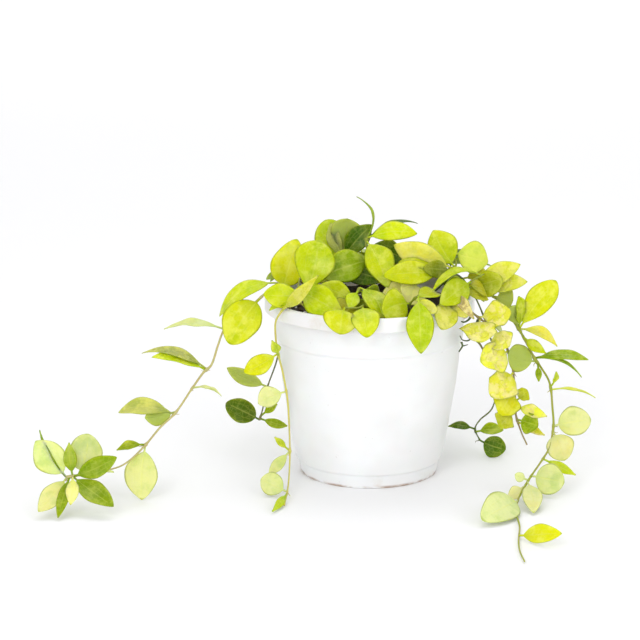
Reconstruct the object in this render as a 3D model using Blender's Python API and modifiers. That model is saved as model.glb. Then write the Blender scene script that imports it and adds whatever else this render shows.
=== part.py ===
"""A trailing, round-leaved climbing plant in a round plastic nursery pot.

Metres, +Z up. The pot stands on the ground with the middle of its base at the origin, and
the side that faces -Y is the front. Sizes below are in millimetres and are scaled once, on
the way into each mesh. Each leafy stem is one solid with its leaves, and stands in a plain
hole in the potting mix or lies over the pot's rim.
"""
import math
import random

import bmesh
import bpy
import numpy as np
from mathutils import Matrix, Vector
from mathutils.bvhtree import BVHTree

MM = 0.001

# Pot: outer radius and height of each turn of the wall, from the lip down to the foot.
LIP_RADIUS = 63.5
POT_HEIGHT = 110.0
LIP_BOTTOM = 101.5
WALL = 1.7
POT_TURNS = 32
POT_OUTSIDE = [
    (61.9, POT_HEIGHT), (LIP_RADIUS, 108.9), (LIP_RADIUS, LIP_BOTTOM), (58.5, 100.6),
    (57.1, 92.0), (56.9, 84.8), (55.8, 83.4), (52.9, 56.5), (46.6, 18.3), (44.3, 9.0),
    (43.2, 8.0), (41.5, 0.0),
]
FOOT_WIDTH = 1.8
FLOOR_UNDER = 3.0
FLOOR_TOP = 5.0
PAD_RADIUS = 11.0
DRAIN_HOLES = 6
DRAIN_RADIUS = 3.6
DRAIN_RING = 25.0

# Potting mix: it fills the pot to a little under the lip and is domed in the middle.
MIX_EDGE = 102.5
MIX_MIDDLE = 105.0
MIX_GAP = 0.3
HOLE_DEPTH = 14.0
HOLE_PLAY = 0.5

# Leaves and stems.
BLADE_THICK = 0.8
STALK_HALF = 0.6
CLEARANCE = 0.35
GROUND_GAP = 0.4
STEM_SIDES = 2
NARROW = 6.5
# Merging distance and flatness angle in radians, in the order they are tried.
MERGES = ((0.01, 0.035), (0.02, 0.035), (0.005, 0.035), (0.03, 0.035), (0.01, 0.02), (0.01, 0.01),
          (0.02, 0.005), (0.005, 0.005), (0.01, 0.0), (0.02, 0.0), (0.002, 0.0))
TIP_SHARE = {"round": 0.26, "oval": 0.18, "spoon": 0.26, "lance": 0.08, "egg": 0.14}

# The front view's line of sight: a leaf is drawn on the upright plane through the pot's
# middle, and slides along this line to its own depth.
EYE = np.array([-30.0, -1530.0, 474.0])

LIE = None
LIE_HEIGHT = 1.6

FRONT = (0.0, -1.0, 0.25)
UPWARD = (0.0, -0.55, 1.0)
TOP = (0.0, -0.15, 1.0)
AWAY = (0.0, 1.0, -0.3)

# Outline of a blade: (where it is widest, roundness).
SHAPES = {"round": (0.95, 0.55), "oval": (0.95, 0.75), "spoon": (1.35, 0.62), "lance": (0.85, 0.95),
          "egg": (0.74, 0.62)}


def seen(x, z, depth):
    """Point drawn at x, z on the upright plane, slid along the sight line to its depth.

    With LIE for its depth the point slides on until it lies on the ground.
    """
    drawn = np.array([x, 0.0, z])
    if depth is LIE:
        depth = EYE[1] * (1.0 - (EYE[2] - LIE_HEIGHT) / (EYE[2] - z))
    return EYE + (drawn - EYE) * ((depth - EYE[1]) / (0.0 - EYE[1]))


def smooth(points, steps):
    """Smooth line through the points: Catmull-Rom, with the same number of steps a span."""
    pts = [np.asarray(p, float) for p in points]
    ends = [2 * pts[0] - pts[1]] + pts + [2 * pts[-1] - pts[-2]]
    line = []
    for i in range(len(pts) - 1):
        a, b, c, d = ends[i:i + 4]
        for k in range(steps):
            t = k / steps
            line.append(0.5 * (2 * b + (c - a) * t + (2 * a - 5 * b + 4 * c - d) * t ** 2
                               + (3 * b - a - 3 * c + d) * t ** 3))
    line.append(pts[-1])
    return line


def on_route(route, at):
    """Point of the smooth line through a route, `at` route points along it."""
    steps = 8
    line = smooth(route, steps)
    return line[min(int(round(at * steps)), len(line) - 1)]


# Each leafy stem: where its hole is, its radius, its route as x, z, depth of the front view,
# and its leaves. A leaf is: how many route points along the stem it starts, tip x, tip z, tip
# depth, width, the way its upper side faces, how far it arches, how far its edges rise, and
# its outline.
STEMS = {
    "left_front_stem": dict(hole=(-30, -22), radius=1.2, route=[
        (-37, 107, -33), (-41, 111, -34), (-43, 115, -31), (-42, 120, -25)], leaves=[
        (0, -58.5, 94.5, -40, 8, UPWARD, 3.0, 0.0, "oval"),
        (1.4, -19.5, 95.5, -53, 19, FRONT, 2.0, 0.5, "oval"),
        (0.8, -64.5, 110, -32, 15, FRONT, 1.0, 0.5, "oval"),
        (0.5, -31, 143.5, -24, 25, FRONT, 2.5, 1.0, "spoon"),
    ]),
    "left_stem": dict(hole=(-42, -2), radius=1.2, route=[
        (-49, 110, -6), (-54, 113, -8), (-56, 117, -7)], leaves=[
        (0.6, -44, 143.5, -8, 21, FRONT, 1.0, 0.5, "egg"),
        (2, -91.5, 97, -16, 15, UPWARD, 8.0, 0.5, "oval"),
    ]),
    "upper_left_stem": dict(hole=(-14, 2), radius=1.3, route=[
        (-18, 116, 4), (-18, 126, 3), (-16, 133, 2)], leaves=[
        (1.3, -27, 156.5, 16, 21, FRONT, 1.0, 0.5, "round"),
        (1.8, -24.5, 154, 8, 10, (-0.5, -0.9, 0.2), 1.0, 1.0, "oval"),
        (2, -13.5, 157, 1, 20, AWAY, 1.0, 2.0, "spoon"),
        (2, 1, 153, 2, 14, (0.3, -0.9, 0.5), 3.0, 1.0, "oval"),
        (1, 7, 119, -16, 15, FRONT, 1.0, 0.5, "oval"),
        (0.6, -31, 127, 26, 16, FRONT, 1.0, 0.5, "oval"),
    ]),
    "middle_front_stem": dict(hole=(-8, -26), radius=1.1, route=[
        (-9, 104, -36), (-8, 109, -40), (-6, 114, -39)], leaves=[
        (0.8, -29.5, 116, -38, 13, FRONT, 1.5, 0.5, "oval"),
        (1, 0.5, 97, -50, 14, (-0.3, -0.9, 0.3), 1.5, 0.5, "oval"),
        (2, 8.5, 95, -60, 15, (0.5, -0.8, 0.5), 3.0, 0.5, "oval"),
        (0.5, -19, 96.5, -50, 18, FRONT, 1.0, 0.5, "oval"),
        (1.8, 6, 108, -30, 14, FRONT, 1.0, 0.5, "oval"),
        (1.6, -12, 101, -51, 9, FRONT, 1.0, 0.5, "oval"),
    ]),
    "front_rim_stem": dict(hole=(-2, -42), radius=1.0, route=[
        (-3, 102.5, -50), (-7, 101.5, -56), (-15, 101.5, -57)], leaves=[
        (2, -18, 85, -68, 21, FRONT, 1.0, 0.5, "round"),
        (0.4, -1.5, 83.5, -69, 17, FRONT, 1.0, 0.5, "round"),
    ]),
    "front_right_stem": dict(hole=(24, -30), radius=1.1, route=[
        (24, 103, -44), (27, 107, -50), (29.5, 109, -54)], leaves=[
        (0.2, 8.5, 96, -50, 21, FRONT, 1.0, 0.5, "round"),
        (2, 31.5, 73, -65, 16.5, FRONT, 2.0, 0.5, "oval"),
        (1, 41, 99, -50, 8, FRONT, 1.0, 0.5, "round"),
        (1.2, 42, 112, -34, 13, UPWARD, 1.0, 0.5, "oval"),
    ]),
    "top_stem": dict(hole=(2, -10), radius=1.3, route=[
        (2, 118, -12), (1, 130, -10), (-2, 140, -8), (-2, 144.5, -6)], leaves=[
        (3, 28.5, 147.5, -8, 13, (0.0, -0.75, 0.65), 3.0, 0.5, "oval"),
        (2.6, 10.5, 115.5, -36, 18, FRONT, 2.5, 0.5, "oval"),
        (2, 20, 132, -2, 14, FRONT, 1.0, 0.5, "oval"),
        (3, -6, 170.5, 4, 3.5, (0.9, 0.3, 0.3), 6.0, 0.3, "lance"),
        (2.8, 28.5, 155.5, 8, 7, TOP, 4.0, 0.5, "lance"),
        (1.1, -27.5, 117.5, -34, 20, FRONT, 2.5, 1.0, "oval"),
    ]),
    "right_stem": dict(hole=(24, -12), radius=1.3, route=[
        (27, 116, -26), (36, 120, -25), (46, 124, -21), (52, 128, -16), (50, 136, -11)], leaves=[
        (0, 7, 107.5, -40, 13, FRONT, 1.0, 0.5, "oval"),
        (0.2, 24.5, 103.5, -44, 17, FRONT, 1.5, 0.5, "round"),
        (1.8, 8, 121.5, -38, 15, (0.0, -0.85, 0.5), 2.0, 0.5, "oval"),
        (2.4, 32.5, 126, -30, 11, FRONT, 1.0, 0.5, "oval"),
        (2.0, 18, 132, -24, 13, UPWARD, 1.0, 0.5, "oval"),
        (2.6, 14.5, 140.5, -14, 17, FRONT, 2.0, 0.5, "oval"),
        (2.8, 38, 149.5, -12, 19, FRONT, 1.5, 0.5, "oval"),
        (4, 71.5, 130, -6, 20, FRONT, 2.0, 1.0, "oval"),
    ]),
    "right_front_stem": dict(hole=(42, -26), radius=1.1, route=[
        (48, 106, -36), (55, 112, -33), (62, 118.5, -27), (69, 122.5, -23)], leaves=[
        (1.9, 42.5, 103.5, -48, 16.5, FRONT, 2.0, 0.5, "oval"),
        (2.8, 38, 113, -42, 11, TOP, 7.0, 0.5, "oval"),
        (0.3, 41.5, 91, -58, 15, FRONT, 1.0, 0.5, "spoon"),
        (0.4, 54, 94, -46, 12, FRONT, 1.0, 0.5, "round"),
        (1, 72, 106.5, -30, 10, UPWARD, 1.0, 0.5, "oval"),
        (1.5, 71, 112, -22, 14, UPWARD, 1.0, 0.5, "oval"),
        (0.6, 66, 99, -38, 6.8, FRONT, 1.0, 1.0, "oval"),
    ]),
    "right_trail": dict(hole=(44, 0), radius=1.1, route=[
        (54, 114, -8), (63, 116, -10), (71, 111, -12), (80, 104, -13), (88, 92, -14),
        (91.5, 87, -15), (100.5, 70, -18), (104, 65, -19), (109, 57, -22), (111, 50, -24),
        (112, 40, -26), (113, 27, -30), (111, 14, -38), (107, 6, -44), (100, -5, -53),
        (94.5, -15, -67), (91.5, -23, -81), (91.5, -30, LIE), (93.5, -38, LIE), (93, -47, LIE),
        (94, -54, LIE), (97, -60.5, LIE)], leaves=[
        (1, 89, 132, -10, 14, (0.0, -0.9, 0.7), 1.5, 1.0, "oval"),
        (1.4, 95, 119, -14, 13, (0.0, -0.9, 0.7), 2.0, 0.5, "oval"),
        (1, 80, 120, -20, 16, FRONT, 1.5, 1.0, "round"),
        (2.4, 87, 106, -18, 15, AWAY, 1.0, 1.0, "round"),
        (4.9, 112.5, 118, -16, 17, FRONT, 1.5, 1.0, "spoon"),
        (4.8, 91, 108.5, -20, 11, (0.6, -0.7, 0.3), 1.0, 1.0, "oval"),
        (4.7, 85.5, 103, -24, 10, AWAY, 1.0, 1.0, "oval"),
        (4.9, 114.5, 78, -22, 8, (0.4, -0.6, 0.7), 4.0, 0.5, "lance"),
        (6.2, 84, 73, -25, 17, AWAY, 1.0, 1.0, "round"),
        (6, 133.5, 69.5, -20, 10, UPWARD, 4.0, 0.5, "oval"),
        (6, 130, 59, -24, 4, TOP, 4.0, 0.3, "lance"),
        (6.5, 103.5, 55.5, -26, 4, FRONT, 0.5, 0.3, "oval"),
        (5.2, 107.5, 73, -24, 7, FRONT, 2.0, 0.3, "lance"),
        (8.8, 114, 61.5, -26, 5, (0.6, -0.5, 0.6), 1.0, 0.3, "oval"),
        (9, 138.5, 45, -22, 4.5, TOP, 3.0, 0.3, "lance"),
        (11, 136, 31, -30, 18, FRONT, 1.0, 1.0, "round"),
        (11.2, 120.5, 5, -42, 17, FRONT, 1.0, 1.0, "round"),
        (13, 127.5, -4.5, -46, 6, FRONT, 1.0, 0.3, "lance"),
        (14, 120.5, -9, -60, 19, FRONT, 1.0, 1.0, "round"),
        (14.4, 102, -29, -74, 12, FRONT, 1.0, 0.5, "oval"),
        (14.6, 86, -19, -64, 8, FRONT, 1.0, 0.5, "oval"),
        (14.3, 90, -4, -56, 6, FRONT, 0.5, 0.3, "round"),
        (15.8, 70.5, -33, -115, 20, (0.1, -0.8, 0.6), 1.0, 1.0, "round"),
        (18.6, 119, -46, -152, 11, (0.0, -0.9, 0.4), 1.0, 0.5, "oval"),
    ]),
    "right_hanging_stem": dict(hole=(50, -16), radius=1.1, route=[
        (52, 107.5, -34), (57.5, 102.5, -36), (66, 95.5, -31), (73, 90, -25), (82, 80, -22),
        (87, 65, -21), (89, 50, -22), (89.5, 36, -23), (93, 24, -23), (97, 15, -23)], leaves=[
        (2, 86, 99, -32, 16, FRONT, 1.0, 1.0, "oval"),
        (2.1, 68, 80, -40, 22, FRONT, 2.0, 1.0, "round"),
        (3.2, 85, 77, -30, 16, FRONT, 1.5, 1.0, "oval"),
        (4.4, 70, 64, -34, 20, FRONT, 2.0, 1.0, "round"),
        (5.2, 75, 46, -34, 19, FRONT, 2.0, 1.0, "round"),
        (6, 80, 34, -30, 17, FRONT, 1.0, 1.0, "oval"),
        (6.5, 96.5, 50, -22, 9, FRONT, 1.0, 0.5, "round"),
        (6.8, 109, 33, -27, 8, FRONT, 1.5, 0.5, "lance"),
        (7, 80, 26, -26, 13, FRONT, 1.0, 1.0, "oval"),
        (7.4, 103.5, 27, -28, 13, FRONT, 1.0, 1.0, "round"),
        (7.5, 108, 21, -22, 5, FRONT, 0.5, 0.3, "lance"),
    ]),
    "right_back_stem": dict(hole=(40, 22), radius=0.9, route=[
        (50, 121.5, 27), (56, 119.5, 31), (64, 108, 34), (72, 88, 34), (78, 62, 32), (76, 40, 30),
        (68, 31, 30), (65, 25, 30), (68, 18, 28)], leaves=[
        (1, 74, 118, 34, 14, UPWARD, 1.5, 0.5, "oval"),
        (2.6, 82, 84, 44, 13, UPWARD, 1.5, 0.5, "oval"),
        (7, 48.5, 27, 30, 7, (0.0, -0.6, 0.9), 2.0, 0.5, "lance"),
        (7.2, 82.5, 24.5, 30, 11, UPWARD, 1.5, 1.0, "oval"),
        (8, 84, 12, 24, 14, FRONT, 1.5, 1.0, "round"),
    ]),
    "left_trail": dict(hole=(-48, -14), radius=1.1, route=[
        (-60, 111, -18), (-68, 106, -20), (-80, 95, -24), (-88, 88, -27), (-92, 78, -31),
        (-96, 66, -36), (-101, 61, -39), (-108, 51, -44), (-118, 36, -50), (-128, 26, -55),
        (-137, 15, -60), (-147, 5, -66), (-156, 0, -71), (-171, -3, -76), (-186, -6, -80)],
        leaves=[
        (0.8, -85, 79.5, -34, 23, FRONT, 1.5, 1.0, "round"),
        (3, -125, 88.5, -24, 7, UPWARD, 5.0, 0.5, "lance"),
        (5.6, -138, 75, -36, 9, UPWARD, 6.0, 0.5, "lance"),
        (5.8, -131.5, 72.5, -44, 10, UPWARD, 2.0, 0.5, "oval"),
        (7, -90, 46, -44, 4.0, TOP, 3.0, 0.3, "lance"),
        (8.1, -153.5, 36.5, -48, 12, (0.0, -0.7, 0.8), 5.0, 0.5, "oval"),
        (8, -137.5, 32, -58, 12, AWAY, 1.0, 1.0, "oval"),
        (10, -155, 11.5, -62, 7, UPWARD, 2.0, 0.5, "lance"),
        (10, -140, -20.5, -66, 20, FRONT, 0.5, 0.5, "oval"),
        (13.4, -157, -2, -82, 4, UPWARD, 1.0, 0.5, "oval"),
        (14, -204.5, 17.5, -76, 19, FRONT, 1.0, 1.0, "oval"),
        (14, -202, 24.5, -72, 5, (-0.9, -0.3, 0.6), 2.6, 0.3, "lance"),
        (13.8, -184, 16.5, -78, 8, FRONT, 1.0, 0.5, "lance"),
        (13.5, -172, 22, -68, 20, FRONT, 1.0, 0.5, "round"),
        (13.7, -155, 7, -86, 12, FRONT, 1.0, 0.5, "oval"),
        (13.7, -157.5, -24.5, -100, 14, (0.0, -0.7, 0.8), 1.0, 0.5, "oval"),
        (14, -204, -28, -102, 13, (0.1, -0.8, 0.6), 1.0, 0.5, "oval"),
        (13.9, -192, -32, -104, 7, FRONT, 1.0, 0.5, "oval"),
        (13.8, -184, -23.5, -98, 8, FRONT, 1.0, 0.5, "oval"),
    ]),
    "front_left_hanging_stem": dict(hole=(-34, -34), radius=1.0, route=[
        (-44, 106, -42), (-50, 103, -42), (-56.5, 94, -38), (-57, 84, -36), (-55.5, 73, -36),
        (-52.5, 60, -36), (-50, 45, -37), (-49, 30, -39), (-48.5, 11, -42), (-49, -4, -49),
        (-50, -14, -60), (-52, -24, LIE)], leaves=[
        (4, -76.5, 61, -34, 12, FRONT, 1.0, 0.5, "oval"),
        (4.1, -59, 80.5, -42, 6, FRONT, 1.0, 0.3, "lance"),
        (5.7, -68, 41, -36, 13, FRONT, 1.0, 0.5, "oval"),
        (8, -58, 20, -38, 4, FRONT, 1.0, 0.3, "lance"),
        (8, -61.5, -4, -44, 7, FRONT, 1.0, 0.5, "oval"),
        (10.1, -66.5, -7, -52, 14, FRONT, 1.0, 0.5, "round"),
        (10.3, -59.5, -28, -78, 5, FRONT, 0.5, 0.3, "lance"),
        (1.4, -32, 121, -54, 8, FRONT, 3.0, 0.5, "lance"),
    ]),
    "back_left_stem": dict(hole=(-36, 24), radius=0.9, route=[
        (-46, 121.5, 28), (-53.5, 119.5, 36), (-54, 110, 38), (-54, 90, 38), (-56, 70, 37),
        (-62, 52, 34), (-65, 38, 32), (-67, 31, 32)], leaves=[
        (0.6, -42, 132, 46, 15, UPWARD, 1.5, 0.5, "oval"),
        (3, -50, 96, 58, 13, UPWARD, 1.5, 0.5, "oval"),
        (5, -87, 64, 34, 10, AWAY, 1.5, 0.5, "oval"),
        (7, -87.5, 41.5, 32, 15, FRONT, 1.0, 1.0, "round"),
        (6.9, -50, 27, 30, 6, FRONT, 1.0, 0.5, "oval"),
        (6.6, -56, 41, 36, 5, FRONT, 0.5, 0.3, "lance"),
    ]),
}

# Stems at the back of the crown. Their leaves stand in opposite pairs, turned a quarter
# from pair to pair: hole, radius, number of pairs, and route as x, z, depth. The first pair
# is PAIR_START of the way to the second route point. PAIR_TOP is the highest that a tip is
# drawn, so that these leaves stay behind the front ones.
BACK_STEMS = {
    "back_stem_left": dict(hole=(-22, 20), radius=1.2, pairs=6, route=[
        (-26, 120, 24), (-31, 126, 28), (-35, 128.5, 40), (-37, 127, 52), (-36, 118, 62)]),
    "back_stem_middle": dict(hole=(2, 24), radius=1.2, pairs=6, route=[
        (2, 120, 24), (4, 129, 26), (8, 133, 38), (8, 133, 54), (6, 127, 67)]),
    "back_stem_right": dict(hole=(26, 14), radius=1.2, pairs=5, route=[
        (30, 119, 16), (36, 126, 20), (43, 129, 30), (48, 126.5, 44), (49, 117, 57)]),
    "back_stem_low": dict(hole=(14, 44), radius=1.1, pairs=5, route=[
        (18, 128, 56), (20, 126, 64), (23, 110, 72), (24, 90, 75), (22, 72, 76)]),
}
PAIR_START = 0.4
PAIR_LENGTH = (23.0, 31.0)
PAIR_WIDTH = (14.0, 20.0)
PAIR_TOP = 138.0


def leaf_frame(base, tip, face):
    """Length direction, upper-side direction and side direction of a blade."""
    along = tip - base
    length = float(np.linalg.norm(along))
    along = along / length
    up = np.array(face, float)
    up = up - along * float(up @ along)
    up = up / np.linalg.norm(up)
    return along, up, np.cross(along, up), length


def half_width(u, stalk, width, shape):
    """Half the blade's width at u: a stalk, then a power of a sine, never under the stalk."""
    widest, roundness = SHAPES[shape]
    t = np.clip((u - stalk) / (1.0 - stalk), 0.0, 1.0)
    blade = np.sin(np.pi * t ** widest) ** roundness if 0.0 < t < 1.0 else 0.0
    return max(STALK_HALF, 0.5 * width * float(blade))


def blade_sheet(leaf, grow=0.0):
    """Rows of three points, left edge, midrib and right edge, from the stem to the tip."""
    base, tip, width, face, arch, rise, shape = leaf
    along, up, side, length = leaf_frame(base, tip, face)
    stalk = min(0.3, max(0.12, 3.0 / length))
    inner = (0.28, 0.68) if width > NARROW else (0.45,)
    stations = [0.0, stalk] + [stalk + (1.0 - stalk) * s for s in inner] + [1.0]
    rows = []
    for u in stations:
        half = half_width(u, stalk, width, shape)
        if u == 1.0:
            half = max(STALK_HALF, TIP_SHARE[shape] * width)
        half += grow
        middle = base + along * (length * u + grow * (u - 0.5) * 2.0)
        middle = middle + up * arch * 4.0 * u * (1.0 - u)
        lifted = up * rise * (2.0 * half / max(width, 1.0)) ** 2
        rows.append([middle - side * half + lifted, middle, middle + side * half + lifted])
    return rows


def sheet_triangles(count):
    """Triangles of a sheet that is three points wide and `count` rows long."""
    faces = []
    for r in range(count - 1):
        for c in range(2):
            a = 3 * r + c
            if c == 0:
                faces += [(a, a + 1, a + 4), (a, a + 4, a + 3)]
            else:
                faces += [(a, a + 1, a + 3), (a + 1, a + 4, a + 3)]
    return faces


def slab(leaf, grow):
    """Closed test body of a blade, `grow` larger all round, as corners and triangles."""
    rows = blade_sheet(leaf, grow)
    base, tip, width, face = leaf[:4]
    up = leaf_frame(base, tip, face)[1]
    half = 0.5 * BLADE_THICK + grow
    sheet = [p for row in rows for p in row]
    count = len(sheet)
    corners = [p + up * half for p in sheet] + [p - up * half for p in sheet]
    faces = sheet_triangles(len(rows))
    both = faces + [(a + count, c + count, b + count) for a, b, c in faces]
    rim = [3 * r for r in range(len(rows))] + [count - 2]
    rim += [3 * r + 2 for r in reversed(range(len(rows)))] + [1]
    for a, b in zip(rim, rim[1:] + rim[:1]):
        both += [(a, b, b + count), (a, b + count, a + count)]
    return corners, both


def tube_body(line, radius):
    """Six-sided test body of a stem along a line, as corners and triangles."""
    corners = []
    faces = []
    sides = 6
    for i, p in enumerate(line):
        before = line[max(i - 1, 0)]
        after = line[min(i + 1, len(line) - 1)]
        d = Vector(after - before).normalized()
        a = d.orthogonal().normalized()
        b = d.cross(a)
        for k in range(sides):
            turn = 2.0 * math.pi * k / sides
            corners.append(np.array(Vector(p) + (a * math.cos(turn) + b * math.sin(turn)) * radius))
    for i in range(len(line) - 1):
        for k in range(sides):
            a = sides * i + k
            b = sides * i + (k + 1) % sides
            faces += [(a, b, b + sides), (a, b + sides, a + sides)]
    return corners, faces


class Crowd:
    """Everything that is already placed, so that a new leaf can be bent clear of it."""

    def __init__(self):
        self.bodies = []

    def add(self, owner, corners, faces):
        pts = np.array(corners)
        tree = BVHTree.FromPolygons([Vector(p) for p in corners], faces)
        self.bodies.append((owner, pts.min(0), pts.max(0), tree))

    def meets(self, owner, corners, faces):
        pts = np.array(corners)
        low, high = pts.min(0), pts.max(0)
        if low[2] < GROUND_GAP - CLEARANCE:
            return True
        tree = None
        for name, lo, hi, other in self.bodies:
            if name == owner or np.any(low > hi) or np.any(lo > high):
                continue
            if tree is None:
                tree = BVHTree.FromPolygons([Vector(p) for p in corners], faces)
            if tree.overlap(other):
                return True
        return False


def nudges():
    """Depth steps and swings that are tried in turn, the smallest first."""
    depths = (0, -4, 4, -8, 8, -13, 13, -19, 19)
    swings = (0, 6, -6, 12, -12, 19, -19)
    arches = (0, 2.5, -2.5)
    tries = [(abs(d) + 0.9 * abs(s) + 2.2 * abs(a), d, s, a)
             for d in depths for s in swings for a in arches]
    return [t[1:] for t in sorted(tries)]


def bent_clear(crowd, owner, base, drawn, width, face, arch, rise, shape):
    """The leaf, bent in depth, swung or arched until it clears all other stems and leaves."""
    x, z, depth = drawn
    for shrink in (1.0, 0.86, 0.72):
        for step, swing, bow in nudges():
            tip = seen(x, z, depth + step)
            along, up = leaf_frame(base, tip, face)[:2]
            reach = Matrix.Rotation(math.radians(swing), 3, Vector(up)) @ Vector(tip - base)
            tip = base + np.array(reach) * shrink
            leaf = (base, tip, width * shrink, face, arch + bow, rise, shape)
            if not crowd.meets(owner, *slab(leaf, CLEARANCE)):
                crowd.add(owner, *slab(leaf, 0.0))
                return leaf
    return None


def stem_line(stem):
    """Line of a stem: up out of its hole, then smoothly along its route."""
    x, y = stem["hole"]
    route = [seen(*p) for p in stem["route"]]
    mix = MIX_MIDDLE - (MIX_MIDDLE - MIX_EDGE) * (x * x + y * y) / 58.0 ** 2
    foot = [np.array([x, y, mix - HOLE_DEPTH + 1.5]), np.array([x, y, mix + 2.5])]
    return foot, route


def place_all():
    """Line and leaves of every stem, each leaf bent clear of what was placed before it."""
    crowd = Crowd()
    for name, ring, low, high in (("pot", 60.6, 92.0, POT_HEIGHT), ("pot", LIP_RADIUS, LIP_BOTTOM, POT_HEIGHT),
                                  ("pot", 57.0, 50.0, LIP_BOTTOM), ("pot", 50.0, 0.0, 50.0)):
        corners = []
        faces = []
        for k in range(48):
            turn = 2.0 * math.pi * k / 48
            flare = ring if low > 60.0 else ring * (0.9 if low < 10.0 else 0.93)
            corners.append(np.array([flare * math.cos(turn), flare * math.sin(turn), low]))
            corners.append(np.array([ring * math.cos(turn), ring * math.sin(turn), high]))
            a, b = 2 * k, 2 * ((k + 1) % 48)
            faces += [(a, b, b + 1), (a, b + 1, a + 1)]
        crowd.add(name, corners, faces)
    ring = [np.array([60.4 * math.cos(k * math.pi / 24), 60.4 * math.sin(k * math.pi / 24), POT_HEIGHT])
            for k in range(48)]
    wide = [p * np.array([LIP_RADIUS / 60.4, LIP_RADIUS / 60.4, 1.0]) for p in ring]
    cap = [(k, (k + 1) % 48, 48 + (k + 1) % 48) for k in range(48)]
    cap += [(k, 48 + (k + 1) % 48, 48 + k) for k in range(48)]
    crowd.add("pot", ring + wide, cap)
    mix = [p * np.array([0.98, 0.98, 0.0]) + np.array([0.0, 0.0, MIX_EDGE]) for p in ring]
    crowd.add("mix", mix + [np.array([0.0, 0.0, MIX_MIDDLE])],
              [(k, (k + 1) % 48, 48) for k in range(48)])
    everything = {**STEMS, **BACK_STEMS}
    lines = {}
    for name, stem in everything.items():
        foot, route = stem_line(stem)
        lines[name] = (foot, route)
        crowd.add(name, *tube_body([foot[0]] + smooth([foot[1]] + route, 4), stem["radius"] + CLEARANCE))
    placed = {name: [] for name in everything}
    for name, stem in STEMS.items():
        for at, x, z, depth, width, face, arch, rise, shape in stem["leaves"]:
            base = on_route(lines[name][1], at)
            leaf = bent_clear(crowd, name, base, (x, z, depth), width, face, arch, rise, shape)
            if leaf is not None:
                placed[name].append(leaf)
    rng = random.Random(7)
    for name, stem in BACK_STEMS.items():
        route = lines[name][1]
        for pair in range(stem["pairs"]):
            at = PAIR_START + pair * (len(route) - 1.0 - PAIR_START) / (stem["pairs"] - 1)
            base = on_route(route, at)
            ahead = on_route(route, min(at + 0.5, len(route) - 1)) - on_route(route, max(at - 0.5, 0))
            ahead = Vector(ahead).normalized()
            across = ahead.cross(Vector((0, 0, 1))).normalized()
            for turn in (0.0, math.pi):
                swing = turn + (math.pi / 2 if pair % 2 else 0.0) + rng.uniform(-0.3, 0.3)
                way = Matrix.Rotation(swing, 3, ahead) @ across
                way = (way + ahead * rng.uniform(0.2, 0.7)).normalized()
                length = rng.uniform(*PAIR_LENGTH)
                width = rng.uniform(*PAIR_WIDTH)
                arch = rng.uniform(0.5, 2.5)
                tip = base + np.array(way) * length
                share = (0.0 - EYE[1]) / (tip[1] - EYE[1])
                drawn = EYE + (tip - EYE) * share
                face = (0.2 * way.x, 0.5, 1.0)
                drawn = (drawn[0], min(drawn[2], PAIR_TOP), tip[1])
                leaf = bent_clear(crowd, name, base, drawn, width, face, arch, 0.8, "oval")
                if leaf is not None:
                    placed[name].append(leaf)
    return lines, placed


def clear_scene():
    for obj in list(bpy.data.objects):
        bpy.data.objects.remove(obj, do_unlink=True)


def new_collection(name):
    group = bpy.data.collections.new(name)
    bpy.context.scene.collection.children.link(group)
    return group


def finish(name, colour, roughness, metallic=0.0):
    material = bpy.data.materials.new(name)
    material.use_nodes = True
    shader = material.node_tree.nodes["Principled BSDF"]
    shader.inputs["Base Color"].default_value = (*colour, 1.0)
    shader.inputs["Roughness"].default_value = roughness
    shader.inputs["Metallic"].default_value = metallic
    return material


def mesh_object(name, corners, faces, group):
    mesh = bpy.data.meshes.new(name)
    mesh.from_pydata([Vector(p) * MM for p in corners], [], faces)
    obj = bpy.data.objects.new(name, mesh)
    group.objects.link(obj)
    return obj


def apply_modifiers(obj):
    """Give an object the mesh that its modifiers make, and take them off."""
    graph = bpy.context.evaluated_depsgraph_get()
    made = bpy.data.meshes.new_from_object(obj.evaluated_get(graph))
    obj.modifiers.clear()
    obj.data = made


def cut(obj, cutter, operation="DIFFERENCE"):
    step = obj.modifiers.new(operation.lower(), "BOOLEAN")
    step.operation = operation
    step.solver = "EXACT"
    step.object = cutter
    apply_modifiers(obj)
    bpy.data.objects.remove(cutter, do_unlink=True)


def turned(name, profile, turns, group):
    """Solid of revolution: the profile at +X runs from the axis, over the top and down."""
    obj = mesh_object(name, [(r, 0.0, z) for r, z in profile], [], group)
    mesh = obj.data
    mesh.edges.add(len(profile) - 1)
    for i in range(len(profile) - 1):
        mesh.edges[i].vertices = (i, i + 1)
    screw = obj.modifiers.new("turn", "SCREW")
    screw.steps = turns
    screw.render_steps = turns
    screw.use_merge_vertices = True
    screw.merge_threshold = 0.00001
    screw.use_normal_calculate = True
    apply_modifiers(obj)
    return obj


def pin(name, x, y, low, high, radius, sides, group):
    """Upright cutter pin."""
    shape = bmesh.new()
    bmesh.ops.create_cone(shape, cap_ends=True, segments=sides, radius1=radius * MM,
                          radius2=radius * MM, depth=(high - low) * MM)
    mesh = bpy.data.meshes.new(name)
    shape.to_mesh(mesh)
    shape.free()
    obj = bpy.data.objects.new(name, mesh)
    mesh.transform(Matrix.Translation((x * MM, y * MM, 0.5 * (low + high) * MM)))
    group.objects.link(obj)
    obj.display_type = "WIRE"
    return obj


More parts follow.
